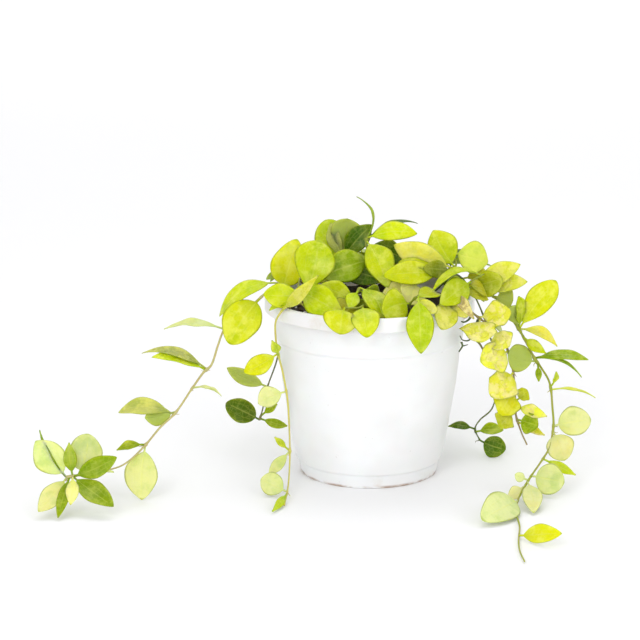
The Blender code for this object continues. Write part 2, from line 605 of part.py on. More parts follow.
def build_pot(group, cutters):
    inside = []
    for radius, z in reversed(POT_OUTSIDE[3:10]):
        inside.append((radius - WALL, max(z, FLOOR_TOP)))
    inside[0] = (POT_OUTSIDE[9][0] - WALL - 1.0, FLOOR_TOP)
    profile = [(0.0, FLOOR_TOP)] + inside
    profile += [(60.4, 103.4), (60.6, POT_HEIGHT)]
    profile += POT_OUTSIDE
    foot = POT_OUTSIDE[-1][0] - FOOT_WIDTH
    profile += [(foot, 0.0), (foot + 0.3, FLOOR_UNDER), (PAD_RADIUS + 0.4, FLOOR_UNDER),
                (PAD_RADIUS, 0.0), (0.0, 0.0)]
    pot = turned("pot", profile, POT_TURNS, group)
    for k in range(DRAIN_HOLES):
        turn = 2.0 * math.pi * (k + 0.5) / DRAIN_HOLES
        hole = pin("drain_pin", DRAIN_RING * math.cos(turn), DRAIN_RING * math.sin(turn),
                   -2.0, FLOOR_TOP + 2.0, DRAIN_RADIUS, 10, cutters)
        cut(pot, hole)
    pot.data.materials.append(finish("white_pot_plastic", (0.86, 0.86, 0.85), 0.32))
    return pot


def build_mix(group, cutters, everything):
    gap = WALL + MIX_GAP
    profile = [(0.0, MIX_MIDDLE), (30.0, MIX_MIDDLE - 0.8), (58.4, MIX_EDGE)]
    for radius, z in POT_OUTSIDE[3:9]:
        profile.append((radius - gap - 0.1, z + 0.3))
    profile += [(POT_OUTSIDE[9][0] - gap - 1.2, FLOOR_TOP + MIX_GAP), (0.0, FLOOR_TOP + MIX_GAP)]
    mix = turned("potting_mix", profile, POT_TURNS, group)
    for name, stem in everything.items():
        x, y = stem["hole"]
        top = MIX_MIDDLE - (MIX_MIDDLE - MIX_EDGE) * (x * x + y * y) / 58.0 ** 2
        hole = pin("stem_pin", x, y, top - HOLE_DEPTH, MIX_MIDDLE + 5.0,
                   stem["radius"] + HOLE_PLAY, 8, cutters)
        cut(mix, hole)
    mix.data.materials.append(finish("dark_potting_mix", (0.07, 0.045, 0.03), 0.95))
    return mix


def simplify(mesh):
    """Merge near points and flat faces, by the first of MERGES that leaves the surface closed."""
    for near, flat in MERGES:
        tidy = bmesh.new()
        tidy.from_mesh(mesh)
        bmesh.ops.remove_doubles(tidy, verts=tidy.verts, dist=near * MM)
        if flat > 0.0:
            bmesh.ops.dissolve_limit(tidy, angle_limit=flat, verts=tidy.verts, edges=tidy.edges)
        bmesh.ops.triangulate(tidy, faces=tidy.faces)
        closed = all(len(edge.link_faces) == 2 for edge in tidy.edges)
        if closed:
            tidy.to_mesh(mesh)
        tidy.free()
        if closed:
            break


def build_stem(name, radius, foot, route, leaves, group, colour):
    """Round stem along its line, and one Boolean union with all of its leaves."""
    line = [foot[0]] + smooth([foot[1]] + route, 2 if len(route) < 8 else 1)
    curve = bpy.data.curves.new(name, "CURVE")
    curve.dimensions = "3D"
    curve.bevel_depth = radius * MM
    curve.bevel_resolution = STEM_SIDES
    curve.use_fill_caps = True
    path = curve.splines.new("POLY")
    path.points.add(len(line) - 1)
    for i, p in enumerate(line):
        path.points[i].co = (*(Vector(p) * MM), 1.0)
        path.points[i].radius = 1.0 if i < len(line) * 0.6 else 1.0 - 0.35 * (i / len(line) - 0.6) / 0.4
    drawn = bpy.data.objects.new(name + "_line", curve)
    group.objects.link(drawn)
    graph = bpy.context.evaluated_depsgraph_get()
    mesh = bpy.data.meshes.new_from_object(drawn.evaluated_get(graph))
    mesh.transform(drawn.matrix_world)
    bpy.data.objects.remove(drawn, do_unlink=True)
    shape = bmesh.new()
    shape.from_mesh(mesh)
    bmesh.ops.remove_doubles(shape, verts=shape.verts, dist=0.00002)
    bmesh.ops.triangulate(shape, faces=shape.faces)
    bmesh.ops.recalc_face_normals(shape, faces=shape.faces)
    shape.to_mesh(mesh)
    shape.free()
    stem = bpy.data.objects.new(name, mesh)
    group.objects.link(stem)
    blades = new_collection(name + "_leaves")
    for leaf in leaves:
        rows = blade_sheet(leaf)
        blade = mesh_object(name + "_leaf", [p for row in rows for p in row],
                            sheet_triangles(len(rows)), blades)
        solid = blade.modifiers.new("thickness", "SOLIDIFY")
        solid.thickness = BLADE_THICK * MM
        solid.offset = 0.0
        apply_modifiers(blade)
    union = stem.modifiers.new("leaves", "BOOLEAN")
    union.operation = "UNION"
    union.solver = "EXACT"
    union.operand_type = "COLLECTION"
    union.collection = blades
    apply_modifiers(stem)
    for blade in list(blades.objects):
        bpy.data.objects.remove(blade, do_unlink=True)
    bpy.data.collections.remove(blades)
    simplify(stem.data)
    stem.data.materials.clear()
    stem.data.materials.append(finish(name + "_green", colour, 0.42))
    return stem


def main():
    clear_scene()
    group = new_collection("potted_trailing_plant")
    cutters = new_collection("cutters")
    everything = {**STEMS, **BACK_STEMS}
    build_pot(group, cutters)
    build_mix(group, cutters, everything)
    lines, placed = place_all()
    for i, (name, stem) in enumerate(everything.items()):
        colour = (0.42 + 0.05 * (i % 3), 0.52 + 0.03 * (i % 4), 0.06)
        foot, route = lines[name]
        build_stem(name, stem["radius"], foot, route, placed[name], group, colour)
    cutters.hide_render = True


main()
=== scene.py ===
"""Looks of a trailing, round-leaved climbing plant in a round plastic nursery pot.

The leaves and stems follow the same routes and sizes as the solids, with each leaf where the
solids' clearing rule put it, so each fine blade lies where its plain solid lies. Sizes are in
millimetres, scaled once on the way into each mesh.
"""
import math
import random

import bmesh
import bpy
import numpy as np
from mathutils import Matrix, Vector


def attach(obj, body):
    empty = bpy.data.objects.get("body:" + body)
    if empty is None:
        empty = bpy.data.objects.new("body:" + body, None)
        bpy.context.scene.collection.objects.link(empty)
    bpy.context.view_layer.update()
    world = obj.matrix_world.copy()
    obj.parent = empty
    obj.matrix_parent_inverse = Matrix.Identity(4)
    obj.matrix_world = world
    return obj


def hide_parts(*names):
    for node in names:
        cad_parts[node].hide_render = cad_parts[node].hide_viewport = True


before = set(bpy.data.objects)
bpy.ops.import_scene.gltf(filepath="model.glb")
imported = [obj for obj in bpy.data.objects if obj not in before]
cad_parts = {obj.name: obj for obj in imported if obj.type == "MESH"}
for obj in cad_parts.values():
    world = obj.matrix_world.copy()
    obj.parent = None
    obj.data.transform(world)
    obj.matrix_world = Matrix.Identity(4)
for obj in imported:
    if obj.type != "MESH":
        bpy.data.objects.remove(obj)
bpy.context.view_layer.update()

MM = 0.001
FULL_TURN = 2.0 * math.pi

# Pot: outer radius and height of each turn of the wall, from the lip down to the foot.
LIP_RADIUS = 63.5
LIP_INSIDE = 60.4
MOUTH = 60.6
POT_HEIGHT = 110.0
LIP_BOTTOM = 101.5
WALL = 1.7
POT_OUTSIDE = [
    (61.9, POT_HEIGHT), (LIP_RADIUS, 108.9), (LIP_RADIUS, LIP_BOTTOM), (58.5, 100.6),
    (57.1, 92.0), (56.9, 84.8), (55.8, 83.4), (52.9, 56.5), (46.6, 18.3), (44.3, 9.0),
    (43.2, 8.0), (41.5, 0.0),
]
FOOT_WIDTH = 1.8
FLOOR_UNDER = 3.0
FLOOR_TOP = 5.0
PAD_RADIUS = 11.0
GATE_RADIUS = 4.0
DRAIN_HOLES = 6
DRAIN_RADIUS = 3.6
DRAIN_RING = 25.0
DRAIN_CUT = (9.0, -3.0)
EDGE_ROUND = 0.7
POT_AROUND = 144
DRAIN_AROUND = 24

# Potting mix: it fills the pot to a little under the lip and is domed in the middle.
MIX_EDGE = 102.5
MIX_MIDDLE = 105.0
MIX_RADIUS = 58.0
MIX_SPREAD = 58.2
MIX_GAP = 0.3
MIX_RINGS = 30
MIX_AROUND = 96
HOLE_DEPTH = 14.0

# Leaves and stems.
STALK_HALF = 0.6
# Outline of a blade: (where it is widest, roundness).
SHAPES = {"round": (0.95, 0.55), "oval": (0.95, 0.75), "spoon": (1.35, 0.62),
          "lance": (0.85, 0.95), "egg": (0.74, 0.62)}

# The front view's line of sight: a leaf is drawn on the upright plane through the pot's
# middle, and slides along this line to its own depth.
EYE = np.array([-30.0, -1530.0, 474.0])

LIE = None
LIE_HEIGHT = 1.6

FRONT = (0.0, -1.0, 0.25)
UPWARD = (0.0, -0.55, 1.0)
TOP = (0.0, -0.15, 1.0)
AWAY = (0.0, 1.0, -0.3)


def seen(x, z, depth):
    """Point drawn at x, z on the upright plane, slid along the sight line to its depth.

    With LIE for its depth the point slides on until it lies on the ground.
    """
    drawn = np.array([x, 0.0, z])
    if depth is LIE:
        depth = EYE[1] * (1.0 - (EYE[2] - LIE_HEIGHT) / (EYE[2] - z))
    return EYE + (drawn - EYE) * ((depth - EYE[1]) / (0.0 - EYE[1]))


def smooth(points, steps):
    """Smooth line through the points: Catmull-Rom, with the same number of steps a span."""
    pts = [np.asarray(p, float) for p in points]
    ends = [2 * pts[0] - pts[1]] + pts + [2 * pts[-1] - pts[-2]]
    line = []
    for i in range(len(pts) - 1):
        a, b, c, d = ends[i:i + 4]
        for k in range(steps):
            t = k / steps
            line.append(0.5 * (2 * b + (c - a) * t + (2 * a - 5 * b + 4 * c - d) * t ** 2
                               + (3 * b - a - 3 * c + d) * t ** 3))
    line.append(pts[-1])
    return line


def on_route(route, at):
    """Point of the smooth line through a route, `at` route points along it."""
    steps = 8
    line = smooth(route, steps)
    return line[min(int(round(at * steps)), len(line) - 1)]


# Each leafy stem: where its hole is, its radius, a tint for each leaf, its route as x, z,
# depth of the front view, and its leaves. A leaf is: how many route points along the stem it
# starts, tip x, tip z, tip depth, width, the way its upper side faces, how far it arches, how
# far its edges rise, and its outline; what a row leaves out at its end is taken from USUAL.
# A stem may also have the wave of its leaves' edges, its own screen colour, and the degrees
# that some of its leaves are swung sideways.
USUAL = (FRONT, 1, 0.5, "oval")
STEMS = {
    "left_front_stem": dict(hole=(-30, -22), radius=1.2, tints="llyl", swings={0: -19, 1: 6},
        route=[
        (-37, 107, -33), (-41, 111, -34), (-43, 115, -31), (-42, 120, -25)], leaves=[
        (0, -58.5, 94.5, -40, 8, UPWARD, 3, 0), (1.4, -19.5, 95.5, -53, 19, FRONT, 2),
        (0.8, -64.5, 110, -32, 15), (0.5, -31, 143.5, -24, 25, FRONT, 2.5, 1, "spoon")]),
    "left_stem": dict(hole=(-42, -2), radius=1.2, tints="yl", route=[
        (-49, 110, -6), (-54, 113, -8), (-56, 117, -7)], leaves=[
        (0.6, -44, 143.5, -8, 21, FRONT, 1, 0.5, "egg"), (2, -91.5, 97, -16, 15, UPWARD, 8)]),
    "upper_left_stem": dict(hole=(-14, 2), radius=1.3, tints="lmmddo", route=[
        (-18, 116, 4), (-18, 126, 3), (-16, 133, 2)], leaves=[
        (1.3, -27, 156.5, 16, 21, FRONT, 1, 0.5, "round"),
        (1.8, -24.5, 154, 8, 10, (-0.5, -0.9, 0.2), 1, 1),
        (2, -13.5, 157, 1, 20, AWAY, 1, 2, "spoon"), (2, 1, 153, 2, 14, (0.3, -0.9, 0.5), 3, 1),
        (1, 7, 119, -24, 15), (0.6, -31, 127, 26, 16)]),
    "middle_front_stem": dict(hole=(-8, -26), radius=1.1, tints="lglogl", route=[
        (-9, 104, -36), (-8, 109, -40), (-6, 114, -39)], leaves=[
        (0.8, -29.5, 116, -38, 13, FRONT, 1.5), (1, 0.5, 97, -37, 14, (-0.3, -0.9, 0.3), 1.5),
        (2, 8.5, 95, -56, 15, (0.5, -0.8, 0.5), 3), (0.5, -19, 96.5, -50, 18),
        (1.8, 6, 108, -30, 14), (1.6, -12, 101, -51, 9)]),
    "front_rim_stem": dict(hole=(-2, -42), radius=1, tints="yl", route=[
        (-3, 102.5, -50), (-7, 101.5, -56), (-15, 101.5, -57)], leaves=[
        (2, -18, 85, -68, 21, FRONT, 3.5, 0.5, "round"),
        (0.4, -1.5, 83.5, -73, 17, FRONT, 3.5, 0.5, "round")]),
    "front_right_stem": dict(hole=(24, -30), radius=1.1, tints="vvpl", swings={0: -6}, route=[
        (24, 103, -44), (27, 107, -50), (29.5, 109, -54)], leaves=[
        (0.2, 8.5, 96, -58, 21, FRONT, 1, 0.5, "round"), (2, 31.5, 73, -69, 16.5, FRONT, 2),
        (1, 41, 99, -54, 8, FRONT, 1, 0.5, "round"), (1.2, 42, 112, -34, 13, UPWARD)]),
    "top_stem": dict(hole=(2, -10), radius=1.3, tints="yydgdg", swings={5: -6}, route=[
        (2, 118, -12), (1, 130, -10), (-2, 140, -8), (-2, 144.5, -6)], leaves=[
        (3, 28.5, 147.5, -8, 13, (0, -0.75, 0.65), 3), (2.6, 10.5, 115.5, -36, 18, FRONT, 2.5),
        (2, 20, 132, -2, 14), (3, -6, 170.5, 4, 3.5, (0.9, 0.3, 0.3), 6, 0.3, "lance"),
        (2.8, 28.5, 155.5, 8, 7, TOP, 4, 0.5, "lance"),
        (1.1, -27.5, 117.5, -30, 20, FRONT, 2.5, 1)]),
    # Its first two leaves are tinted w: painted light for pale leaves in shade under those above.
    "right_stem": dict(hole=(24, -12), radius=1.3, tints="wwyklplj", route=[
        (27, 116, -26), (36, 120, -25), (46, 124, -21), (52, 128, -16), (50, 136, -11)], leaves=[
        (0, 7, 107.5, -36, 13), (0.2, 24.5, 103.5, -36, 17, FRONT, 1.5, 0.5, "round"),
        (1.8, 8, 121.5, -38, 15, (0, -0.85, 0.5), 2), (2.4, 32.5, 126, -30, 11),
        (2, 18, 132, -24, 13, UPWARD), (2.6, 14.5, 140.5, -18, 17, FRONT, 2),
        (2.8, 38, 149.5, -12, 19, FRONT, 1.5), (4, 71.5, 130, -6, 20, FRONT, 2, 1)]),
    "right_front_stem": dict(hole=(42, -26), radius=1.1, tints="vlqpoot",
        swings={2: 6, 3: 19, 6: -12}, route=[
        (48, 106, -36), (55, 112, -33), (62, 118.5, -27), (69, 122.5, -23)], leaves=[
        (1.9, 42.5, 103.5, -48, 16.5, FRONT, 2), (2.8, 38, 113, -42, 11, TOP, 7),
        (0.3, 41.5, 91, -58, 15, FRONT, 1, 0.5, "spoon"),
        (0.4, 54, 94, -46, 12, FRONT, 3.5, 0.5, "round"), (1, 72, 106.5, -30, 10, UPWARD),
        (1.5, 71, 112, -22, 14, UPWARD), (0.6, 66, 99, -51, 6.8, FRONT, 3.5, 1)]),
    "right_trail": dict(hole=(44, 0), radius=1.1, tints="qqomylmpmgggllpcclcccccy", wave=0.8,
        stalk=(0.62, 0.66, 0.16), swings={0: -6, 23: 6}, route=[
        (54, 114, -8), (63, 116, -10), (71, 111, -12), (80, 104, -13), (88, 92, -14),
        (91.5, 87, -15), (100.5, 70, -18), (104, 65, -19), (109, 57, -22), (111, 50, -24),
        (112, 40, -26), (113, 27, -30), (111, 14, -38), (107, 6, -44), (100, -5, -53),
        (94.5, -15, -67), (91.5, -23, -81), (91.5, -30, LIE), (93.5, -38, LIE), (93, -47, LIE),
        (94, -54, LIE), (97, -60.5, LIE)], leaves=[
        (1, 89, 132, -10, 14, (0, -0.9, 0.7), 1.5, 1), (1.4, 95, 119, -14, 13, (0, -0.9, 0.7), 2),
        (1, 80, 120, -20, 16, FRONT, 1.5, 1, "round"),
        (2.4, 87, 106, -18, 15, AWAY, 1, 1, "round"),
        (4.9, 112.5, 118, -16, 17, FRONT, 1.5, 1, "spoon"),
        (4.8, 91, 108.5, -20, 11, (0.6, -0.7, 0.3), 1, 1), (4.7, 85.5, 103, -24, 10, AWAY, 1, 1),
        (4.9, 114.5, 78, -22, 8, (0.4, -0.6, 0.7), 4, 0.5, "lance"),
        (6.2, 84, 73, -25, 17, AWAY, 1, 1, "round"), (6, 133.5, 69.5, -20, 10, UPWARD, 4),
        (6, 130, 59, -24, 4, TOP, 4, 0.3, "lance"), (6.5, 103.5, 55.5, -26, 4, FRONT, 0.5, 0.3),
        (5.2, 107.5, 73, -24, 7, FRONT, 2, 0.3, "lance"),
        (8.8, 114, 61.5, -26, 5, (0.6, -0.5, 0.6), 1, 0.3),
        (9, 138.5, 45, -22, 4.5, TOP, 3, 0.3, "lance"),
        (11, 136, 31, -30, 18, FRONT, 1, 1, "round"),
        (11.2, 120.5, 5, -42, 17, FRONT, 1, 1, "round"),
        (13, 127.5, -4.5, -46, 6, FRONT, 1, 0.3, "lance"),
        (14, 120.5, -9, -60, 19, FRONT, 1, 1, "round"), (14.4, 102, -29, -93, 12),
        (14.6, 86, -19, -68, 8), (14.3, 90, -4, -56, 6, FRONT, 0.5, 0.3, "round"),
        (15.8, 70.5, -33, -115, 20, (0.1, -0.8, 0.6), 3.5, 1, "round"),
        (18.6, 119, -46, -156, 11, (0, -0.9, 0.4))]),
    "right_hanging_stem": dict(hole=(50, -16), radius=1.1, tints="nnnnnyonogn", wave=3.2,
        stalk=(0.6, 0.54, 0.34), swings={3: -12}, route=[
        (52, 107.5, -34), (57.5, 102.5, -36), (66, 95.5, -31), (73, 90, -25), (82, 80, -22),
        (87, 65, -21), (89, 50, -22), (89.5, 36, -23), (93, 24, -23), (97, 15, -23)], leaves=[
        (2, 86, 99, -32, 16, FRONT, 1, 1), (2.1, 68, 80, -40, 22, FRONT, 2, 1, "round"),
        (3.2, 85, 77, -30, 16, FRONT, 1.5, 1), (4.4, 70, 64, -34, 20, FRONT, 2, 1, "round"),
        (5.2, 75, 46, -34, 19, FRONT, 2, 1, "round"), (6, 80, 34, -30, 17, FRONT, 1, 1),
        (6.5, 96.5, 50, -22, 9, FRONT, 1, 0.5, "round"),
        (6.8, 109, 33, -27, 8, FRONT, 1.5, 0.5, "lance"), (7, 80, 26, -26, 13, FRONT, 1, 1),
        (7.4, 103.5, 27, -28, 13, FRONT, 1, 1, "round"),
        (7.5, 108, 21, -22, 5, FRONT, 0.5, 0.3, "lance")]),
    "right_back_stem": dict(hole=(40, 22), radius=0.9, tints="ogdgd", stalk=(0.34, 0.42, 0.12),
        route=[
        (50, 121.5, 27), (56, 119.5, 31), (64, 108, 34), (72, 88, 34), (78, 62, 32), (76, 40, 30),
        (68, 31, 30), (65, 25, 30), (68, 18, 28)], leaves=[
        (1, 74, 118, 34, 14, UPWARD, 1.5), (2.6, 82, 84, 44, 13, UPWARD, 1.5),
        (7, 48.5, 27, 30, 7, (0, -0.6, 0.9), 2, 0.5, "lance"),
        (7.2, 82.5, 24.5, 30, 11, UPWARD, 1.5, 1), (8, 84, 12, 24, 14, FRONT, 1.5, 1, "round")]),
    "left_trail": dict(hole=(-48, -14), radius=1.1, tints="ycmlcmmgcccggcggcgw", wave=0.8,
        stalk=(0.76, 0.73, 0.46), route=[
        (-60, 111, -18), (-68, 106, -20), (-80, 95, -24), (-88, 88, -27), (-92, 78, -31),
        (-96, 66, -36), (-101, 61, -39), (-108, 51, -44), (-118, 36, -50), (-128, 26, -55),
        (-137, 15, -60), (-147, 5, -66), (-156, 0, -71), (-171, -3, -76),
        (-186, -6, -80)], leaves=[
        (0.8, -85, 79.5, -34, 23, FRONT, 1.5, 1, "round"),
        (3, -125, 88.5, -24, 7, UPWARD, 5, 0.5, "lance"),
        (5.6, -138, 75, -36, 9, UPWARD, 6, 0.5, "lance"), (5.8, -131.5, 72.5, -44, 10, UPWARD, 2),
        (7, -90, 46, -44, 4, TOP, 3, 0.3, "lance"),
        (8.1, -153.5, 36.5, -48, 12, (0, -0.7, 0.8), 5), (8, -137.5, 32, -58, 12, AWAY, 1, 1),
        (10, -155, 11.5, -62, 7, UPWARD, 2, 0.5, "lance"), (10, -140, -20.5, -66, 20, FRONT, 0.5),
        (13.4, -157, -2, -82, 4, UPWARD), (14, -204.5, 17.5, -76, 19, FRONT, 1, 1),
        (14, -202, 24.5, -72, 5, (-0.9, -0.3, 0.6), 2.6, 0.3, "lance"),
        (13.8, -184, 16.5, -78, 8, FRONT, 1, 0.5, "lance"),
        (13.5, -172, 22, -68, 20, FRONT, 1, 0.5, "round"), (13.7, -155, 7, -86, 12),
        (13.7, -157.5, -24.5, -100, 14, (0, -0.7, 0.8)),
        (14, -204, -28, -102, 13, (0.1, -0.8, 0.6)), (13.9, -192, -32, -104, 7),
        (13.8, -184, -23.5, -98, 8)]),
    "front_left_hanging_stem": dict(hole=(-34, -34), radius=1, tints="ylclcclq",
        stalk=(0.82, 0.8, 0.36), route=[
        (-44, 106, -42), (-50, 103, -42), (-56.5, 94, -38), (-57, 84, -36), (-55.5, 73, -36),
        (-52.5, 60, -36), (-50, 45, -37), (-49, 30, -39), (-48.5, 11, -42), (-49, -4, -49),
        (-50, -14, -60), (-52, -24, LIE)], leaves=[
        (4, -76.5, 61, -34, 12), (4.1, -59, 80.5, -42, 6, FRONT, 1, 0.3, "lance"),
        (5.7, -68, 41, -36, 13), (8, -58, 20, -38, 4, FRONT, 1, 0.3, "lance"),
        (8, -61.5, -4, -44, 7), (10.1, -66.5, -7, -52, 14, FRONT, 1, 0.5, "round"),
        (10.3, -59.5, -28, -91, 5, FRONT, 0.5, 0.3, "lance"),
        (1.4, -32, 121, -54, 8, FRONT, 3, 0.5, "lance")]),
    "back_left_stem": dict(hole=(-36, 24), radius=0.9, tints="ggmdgg", stalk=(0.36, 0.4, 0.22),
        route=[
        (-46, 121.5, 28), (-53.5, 119.5, 36), (-54, 110, 38), (-54, 90, 38), (-56, 70, 37),
        (-62, 52, 34), (-65, 38, 32), (-67, 31, 32)], leaves=[
        (0.6, -42, 132, 46, 15, UPWARD, 1.5), (3, -50, 96, 58, 13, UPWARD, 1.5),
        (5, -87, 64, 34, 10, AWAY, 1.5), (7, -87.5, 41.5, 32, 15, FRONT, 1, 1, "round"),
        (6.9, -50, 27, 30, 6), (6.6, -56, 41, 36, 5, FRONT, 0.5, 0.3, "lance")]),
}

# Stems at the back of the crown. Their leaves stand in opposite pairs, turned a quarter
# from pair to pair: hole, radius, number of pairs, route as x, z, depth, and which leaves
# were moved to clear others: how far in depth, swung by how many degrees, arched by how much
# more, and to what share of their size. The first pair is PAIR_START of the way to the second
# route point. PAIR_TOP is the highest that a tip is drawn, so that these leaves stay behind
# the front ones.
BACK_STEMS = {
    "back_stem_left": dict(hole=(-22, 20), radius=1.2, pairs=6, route=[
        (-26, 120, 24), (-31, 126, 28), (-35, 128.5, 40), (-37, 127, 52), (-36, 118, 62)],
        moved={1: (19, 6, -2.5, 0.72), 2: (-19, -19, 0, 0.86), 5: (13, -6, -2.5, 1),
               6: (13, 12, 2.5, 1), 8: (13, 0, 2.5, 1), 10: (13, 0, 0, 1)}),
    "back_stem_middle": dict(hole=(2, 24), radius=1.2, pairs=6, route=[
        (2, 120, 24), (4, 129, 26), (8, 133, 38), (8, 133, 54), (6, 127, 67)],
        moved={2: (-4, 0, 0, 1), 5: (0, -6, 0, 1), 6: (-19, 19, 0, 0.86), 9: (-4, 0, 0, 1),
               10: (4, 0, 0, 1)}),
    "back_stem_right": dict(hole=(26, 14), radius=1.2, pairs=5, route=[
        (30, 119, 16), (36, 126, 20), (43, 129, 30), (48, 126.5, 44), (49, 117, 57)],
        moved={2: (-13, -6, 0, 1), 6: (13, -12, 0, 1), 9: (-4, 0, 0, 1)}),
    "back_stem_low": dict(hole=(14, 44), radius=1.1, pairs=5, route=[
        (18, 128, 56), (20, 126, 64), (23, 110, 72), (24, 90, 75), (22, 72, 76)],
        moved={1: (19, -12, -2.5, 1), 2: (8, 6, 2.5, 1)}),
}
ALL_STEMS = {**STEMS, **BACK_STEMS}
PAIR_START = 0.4
PAIR_LENGTH = (23.0, 31.0)
PAIR_WIDTH = (14.0, 20.0)
PAIR_ARCH = (0.5, 2.5)
PAIR_RISE = 0.8
PAIR_TOP = 138.0


def leaf_frame(base, tip, face):
    """Length direction, upper-side direction and side direction of a blade, and its length."""
    along = tip - base
    length = float(np.linalg.norm(along))
    along = along / length
    up = np.array(face, float)
    up = up - along * float(up @ along)
    up = up / np.linalg.norm(up)
    return along, up, np.cross(along, up), length


def swung_leaf(base, drawn, width, face, arch, rise, shape, swing=0, size=1):
    """A leaf from its stem to its drawn tip, swung about its upper side and sized."""
    tip = seen(*drawn)
    up = leaf_frame(base, tip, face)[1]
    reach = Matrix.Rotation(math.radians(swing), 3, Vector(up)) @ Vector(tip - base)
    return base, base + np.array(reach) * size, width * size, face, arch, rise, shape


def stem_line(stem):
    """Line of a stem: up out of its hole, then smoothly along its route."""
    x, y = stem["hole"]
    route = [seen(*p) for p in stem["route"]]
    mix = MIX_MIDDLE - (MIX_MIDDLE - MIX_EDGE) * (x * x + y * y) / MIX_RADIUS ** 2
    foot = [np.array([x, y, mix - HOLE_DEPTH + 1.5]), np.array([x, y, mix + 2.5])]
    return foot, route


def drawn_leaves(stem, route):
    """Leaves of a stem that the front view shows."""
    leaves = []
    for i, row in enumerate(stem["leaves"]):
        at, x, z, depth, width, face, arch, rise, shape = row + USUAL[len(row) - 5:]
        swing = stem.get("swings", {}).get(i, 0)
        leaves.append(swung_leaf(on_route(route, at), (x, z, depth), width, face, arch, rise,
                                 shape, swing))
    return leaves


def paired_leaves(stem, route, rng):
    """Leaves of a stem at the back: opposite pairs, each a quarter turn from the last."""
    leaves = []
    last = len(route) - 1
    for number in range(2 * stem["pairs"]):
        pair, other = divmod(number, 2)
        at = PAIR_START + pair * (last - PAIR_START) / (stem["pairs"] - 1)
        base = on_route(route, at)
        ahead = on_route(route, min(at + 0.5, last)) - on_route(route, max(at - 0.5, 0))
        ahead = Vector(ahead).normalized()
        across = ahead.cross(Vector((0, 0, 1))).normalized()
        turn = math.pi * other + (math.pi / 2 if pair % 2 else 0.0) + rng.uniform(-0.3, 0.3)
        way = Matrix.Rotation(turn, 3, ahead) @ across
        way = (way + ahead * rng.uniform(0.2, 0.7)).normalized()
        length = rng.uniform(*PAIR_LENGTH)
        width = rng.uniform(*PAIR_WIDTH)
        arch = rng.uniform(*PAIR_ARCH)
        tip = base + np.array(way) * length
        x, _, z = EYE + (tip - EYE) * ((0.0 - EYE[1]) / (tip[1] - EYE[1]))
        step, swing, bow, size = stem["moved"].get(number, (0, 0, 0, 1))
        drawn = (x, min(z, PAIR_TOP), tip[1] + step)
        leaves.append(swung_leaf(base, drawn, width, (0.2 * way.x, 0.5, 1.0), arch + bow,
                                 PAIR_RISE, "oval", swing, size))
    return leaves


# ---- looks ----

# Screen colour of each leaf tint: y yellow, p pale yellow, l and v lime, g and k green,
# d dark green, o and q olive, c and j pale green, m matt grey-green; of old leaves n yellow,
# w cream and t tan. w is brighter than the old leaves' own pale cream: painted light for
# pale leaves that sit in shade under others.
TINT_COLOURS = {
    "y": (0.79, 0.815, 0.005), "p": (0.87, 0.86, 0.33), "l": (0.7, 0.765, 0.005),
    # d dark green is partly painted shade: it darkens leaves that sit deep in the crown.
    "g": (0.51, 0.61, 0.015), "d": (0.27, 0.405, 0.01), "o": (0.65, 0.67, 0.11),
    "c": (0.815, 0.84, 0.59), "m": (0.64, 0.675, 0.35), "v": (0.68, 0.75, 0.01),
    "k": (0.5, 0.56, 0.02), "t": (0.72, 0.64, 0.44), "n": (0.86, 0.855, 0.24),
    "w": (0.985, 0.95, 0.56), "q": (0.76, 0.77, 0.2), "j": (0.78, 0.82, 0.33),
}
# Tints of the back stems' leaves, mostly dark green: partly the greener colour of leaves grown in
# shade, partly painted shade for the gaps deep in the crown.
BACK_TINTS = "dgdog"
# Share of cream patches, and of creases painted darker as shade, on old, crumpled leaves.
WEAR_AND_CREASE_SHADE = {"n": 1.0, "w": 0.5, "q": 0.4, "p": 0.3, "t": 1.0}
USUAL_WAVE = 0.6

BLADE_ROWS = 22
STALK_ROWS = 4
BLADE_COLUMNS = 11
BLADE_HALF = 0.5
# No blade dips under LOWEST, and one that comes under NEAR_FLOOR is flatter than others.
LOWEST = 0.2
NEAR_FLOOR = 20.0
# Ranges of the seeded differences between leaves: midrib's bend, greatest curl of the tip,
# ripples along an edge, height of a ripple, rise of the edges, fold along the midrib,
# twist, and how much wider one half is.
BEND = (-0.09, 0.09)
CURL = (-0.2, 0.11)
RIPPLES = (1.0, 2.4)
RIPPLE_HEIGHT = (0.3, 0.8)
EDGE_RISE = (0.0, 0.5)
FOLD = (-0.10, 0.30)
TWIST = (-0.30, 0.30)
LOPSIDED = (-0.09, 0.09)

STEM_ROUND = 10
STEM_STEPS = 7
STEM_SHARE = 0.60
STEM_THINNING = 0.18
SWELLING = 0.30
SWELLING_REACH = 1.3
STALK_TINT = (0.55, 0.60, 0.16)
# Short air roots at the leaves: how likely, how likely above CROWN_LOW, points, sides, reach,
# and thickness at the stem.
ROOT_ODDS = 0.55
CROWN_LOW = 108.0
CROWN_ROOT_ODDS = 0.3
ROOT_POINTS = 7
ROOT_SIDES = 5
ROOT_REACH = (1.8, 4.5)
ROOT_THICK = 0.34
# Loose dark air roots that curl beside the rim on the right, each with its thickness.
CURL_TINT = (0.33, 0.40, 0.20)
CURLS = {
    "right_hanging_stem": [
        ([(62, 97, -30), (60, 94, -29), (57, 92.5, -28), (55, 94, -28)], 0.8),
        ([(63, 84, -29), (62.5, 88, -29), (59, 89.5, -29), (56.5, 87, -28)], 0.75),
        ([(63, 84, -29), (60, 81, -28), (56.5, 81.5, -27), (55, 84, -27)], 0.6),
        ([(66, 94, -30), (63, 84, -29), (67, 79, -28), (71, 72, -27)], 1.1),
        ([(56, 80, -28), (56.5, 77.5, -28), (54.5, 74, -28)], 0.8),
        ([(56.5, 77.5, -28), (60, 78.5, -28)], 0.5),
    ],
}


def linear(colour):
    """Screen colour to light: the usual power curve of 2.2, a channel at a time."""
    return tuple(float(c) ** 2.2 for c in colour)


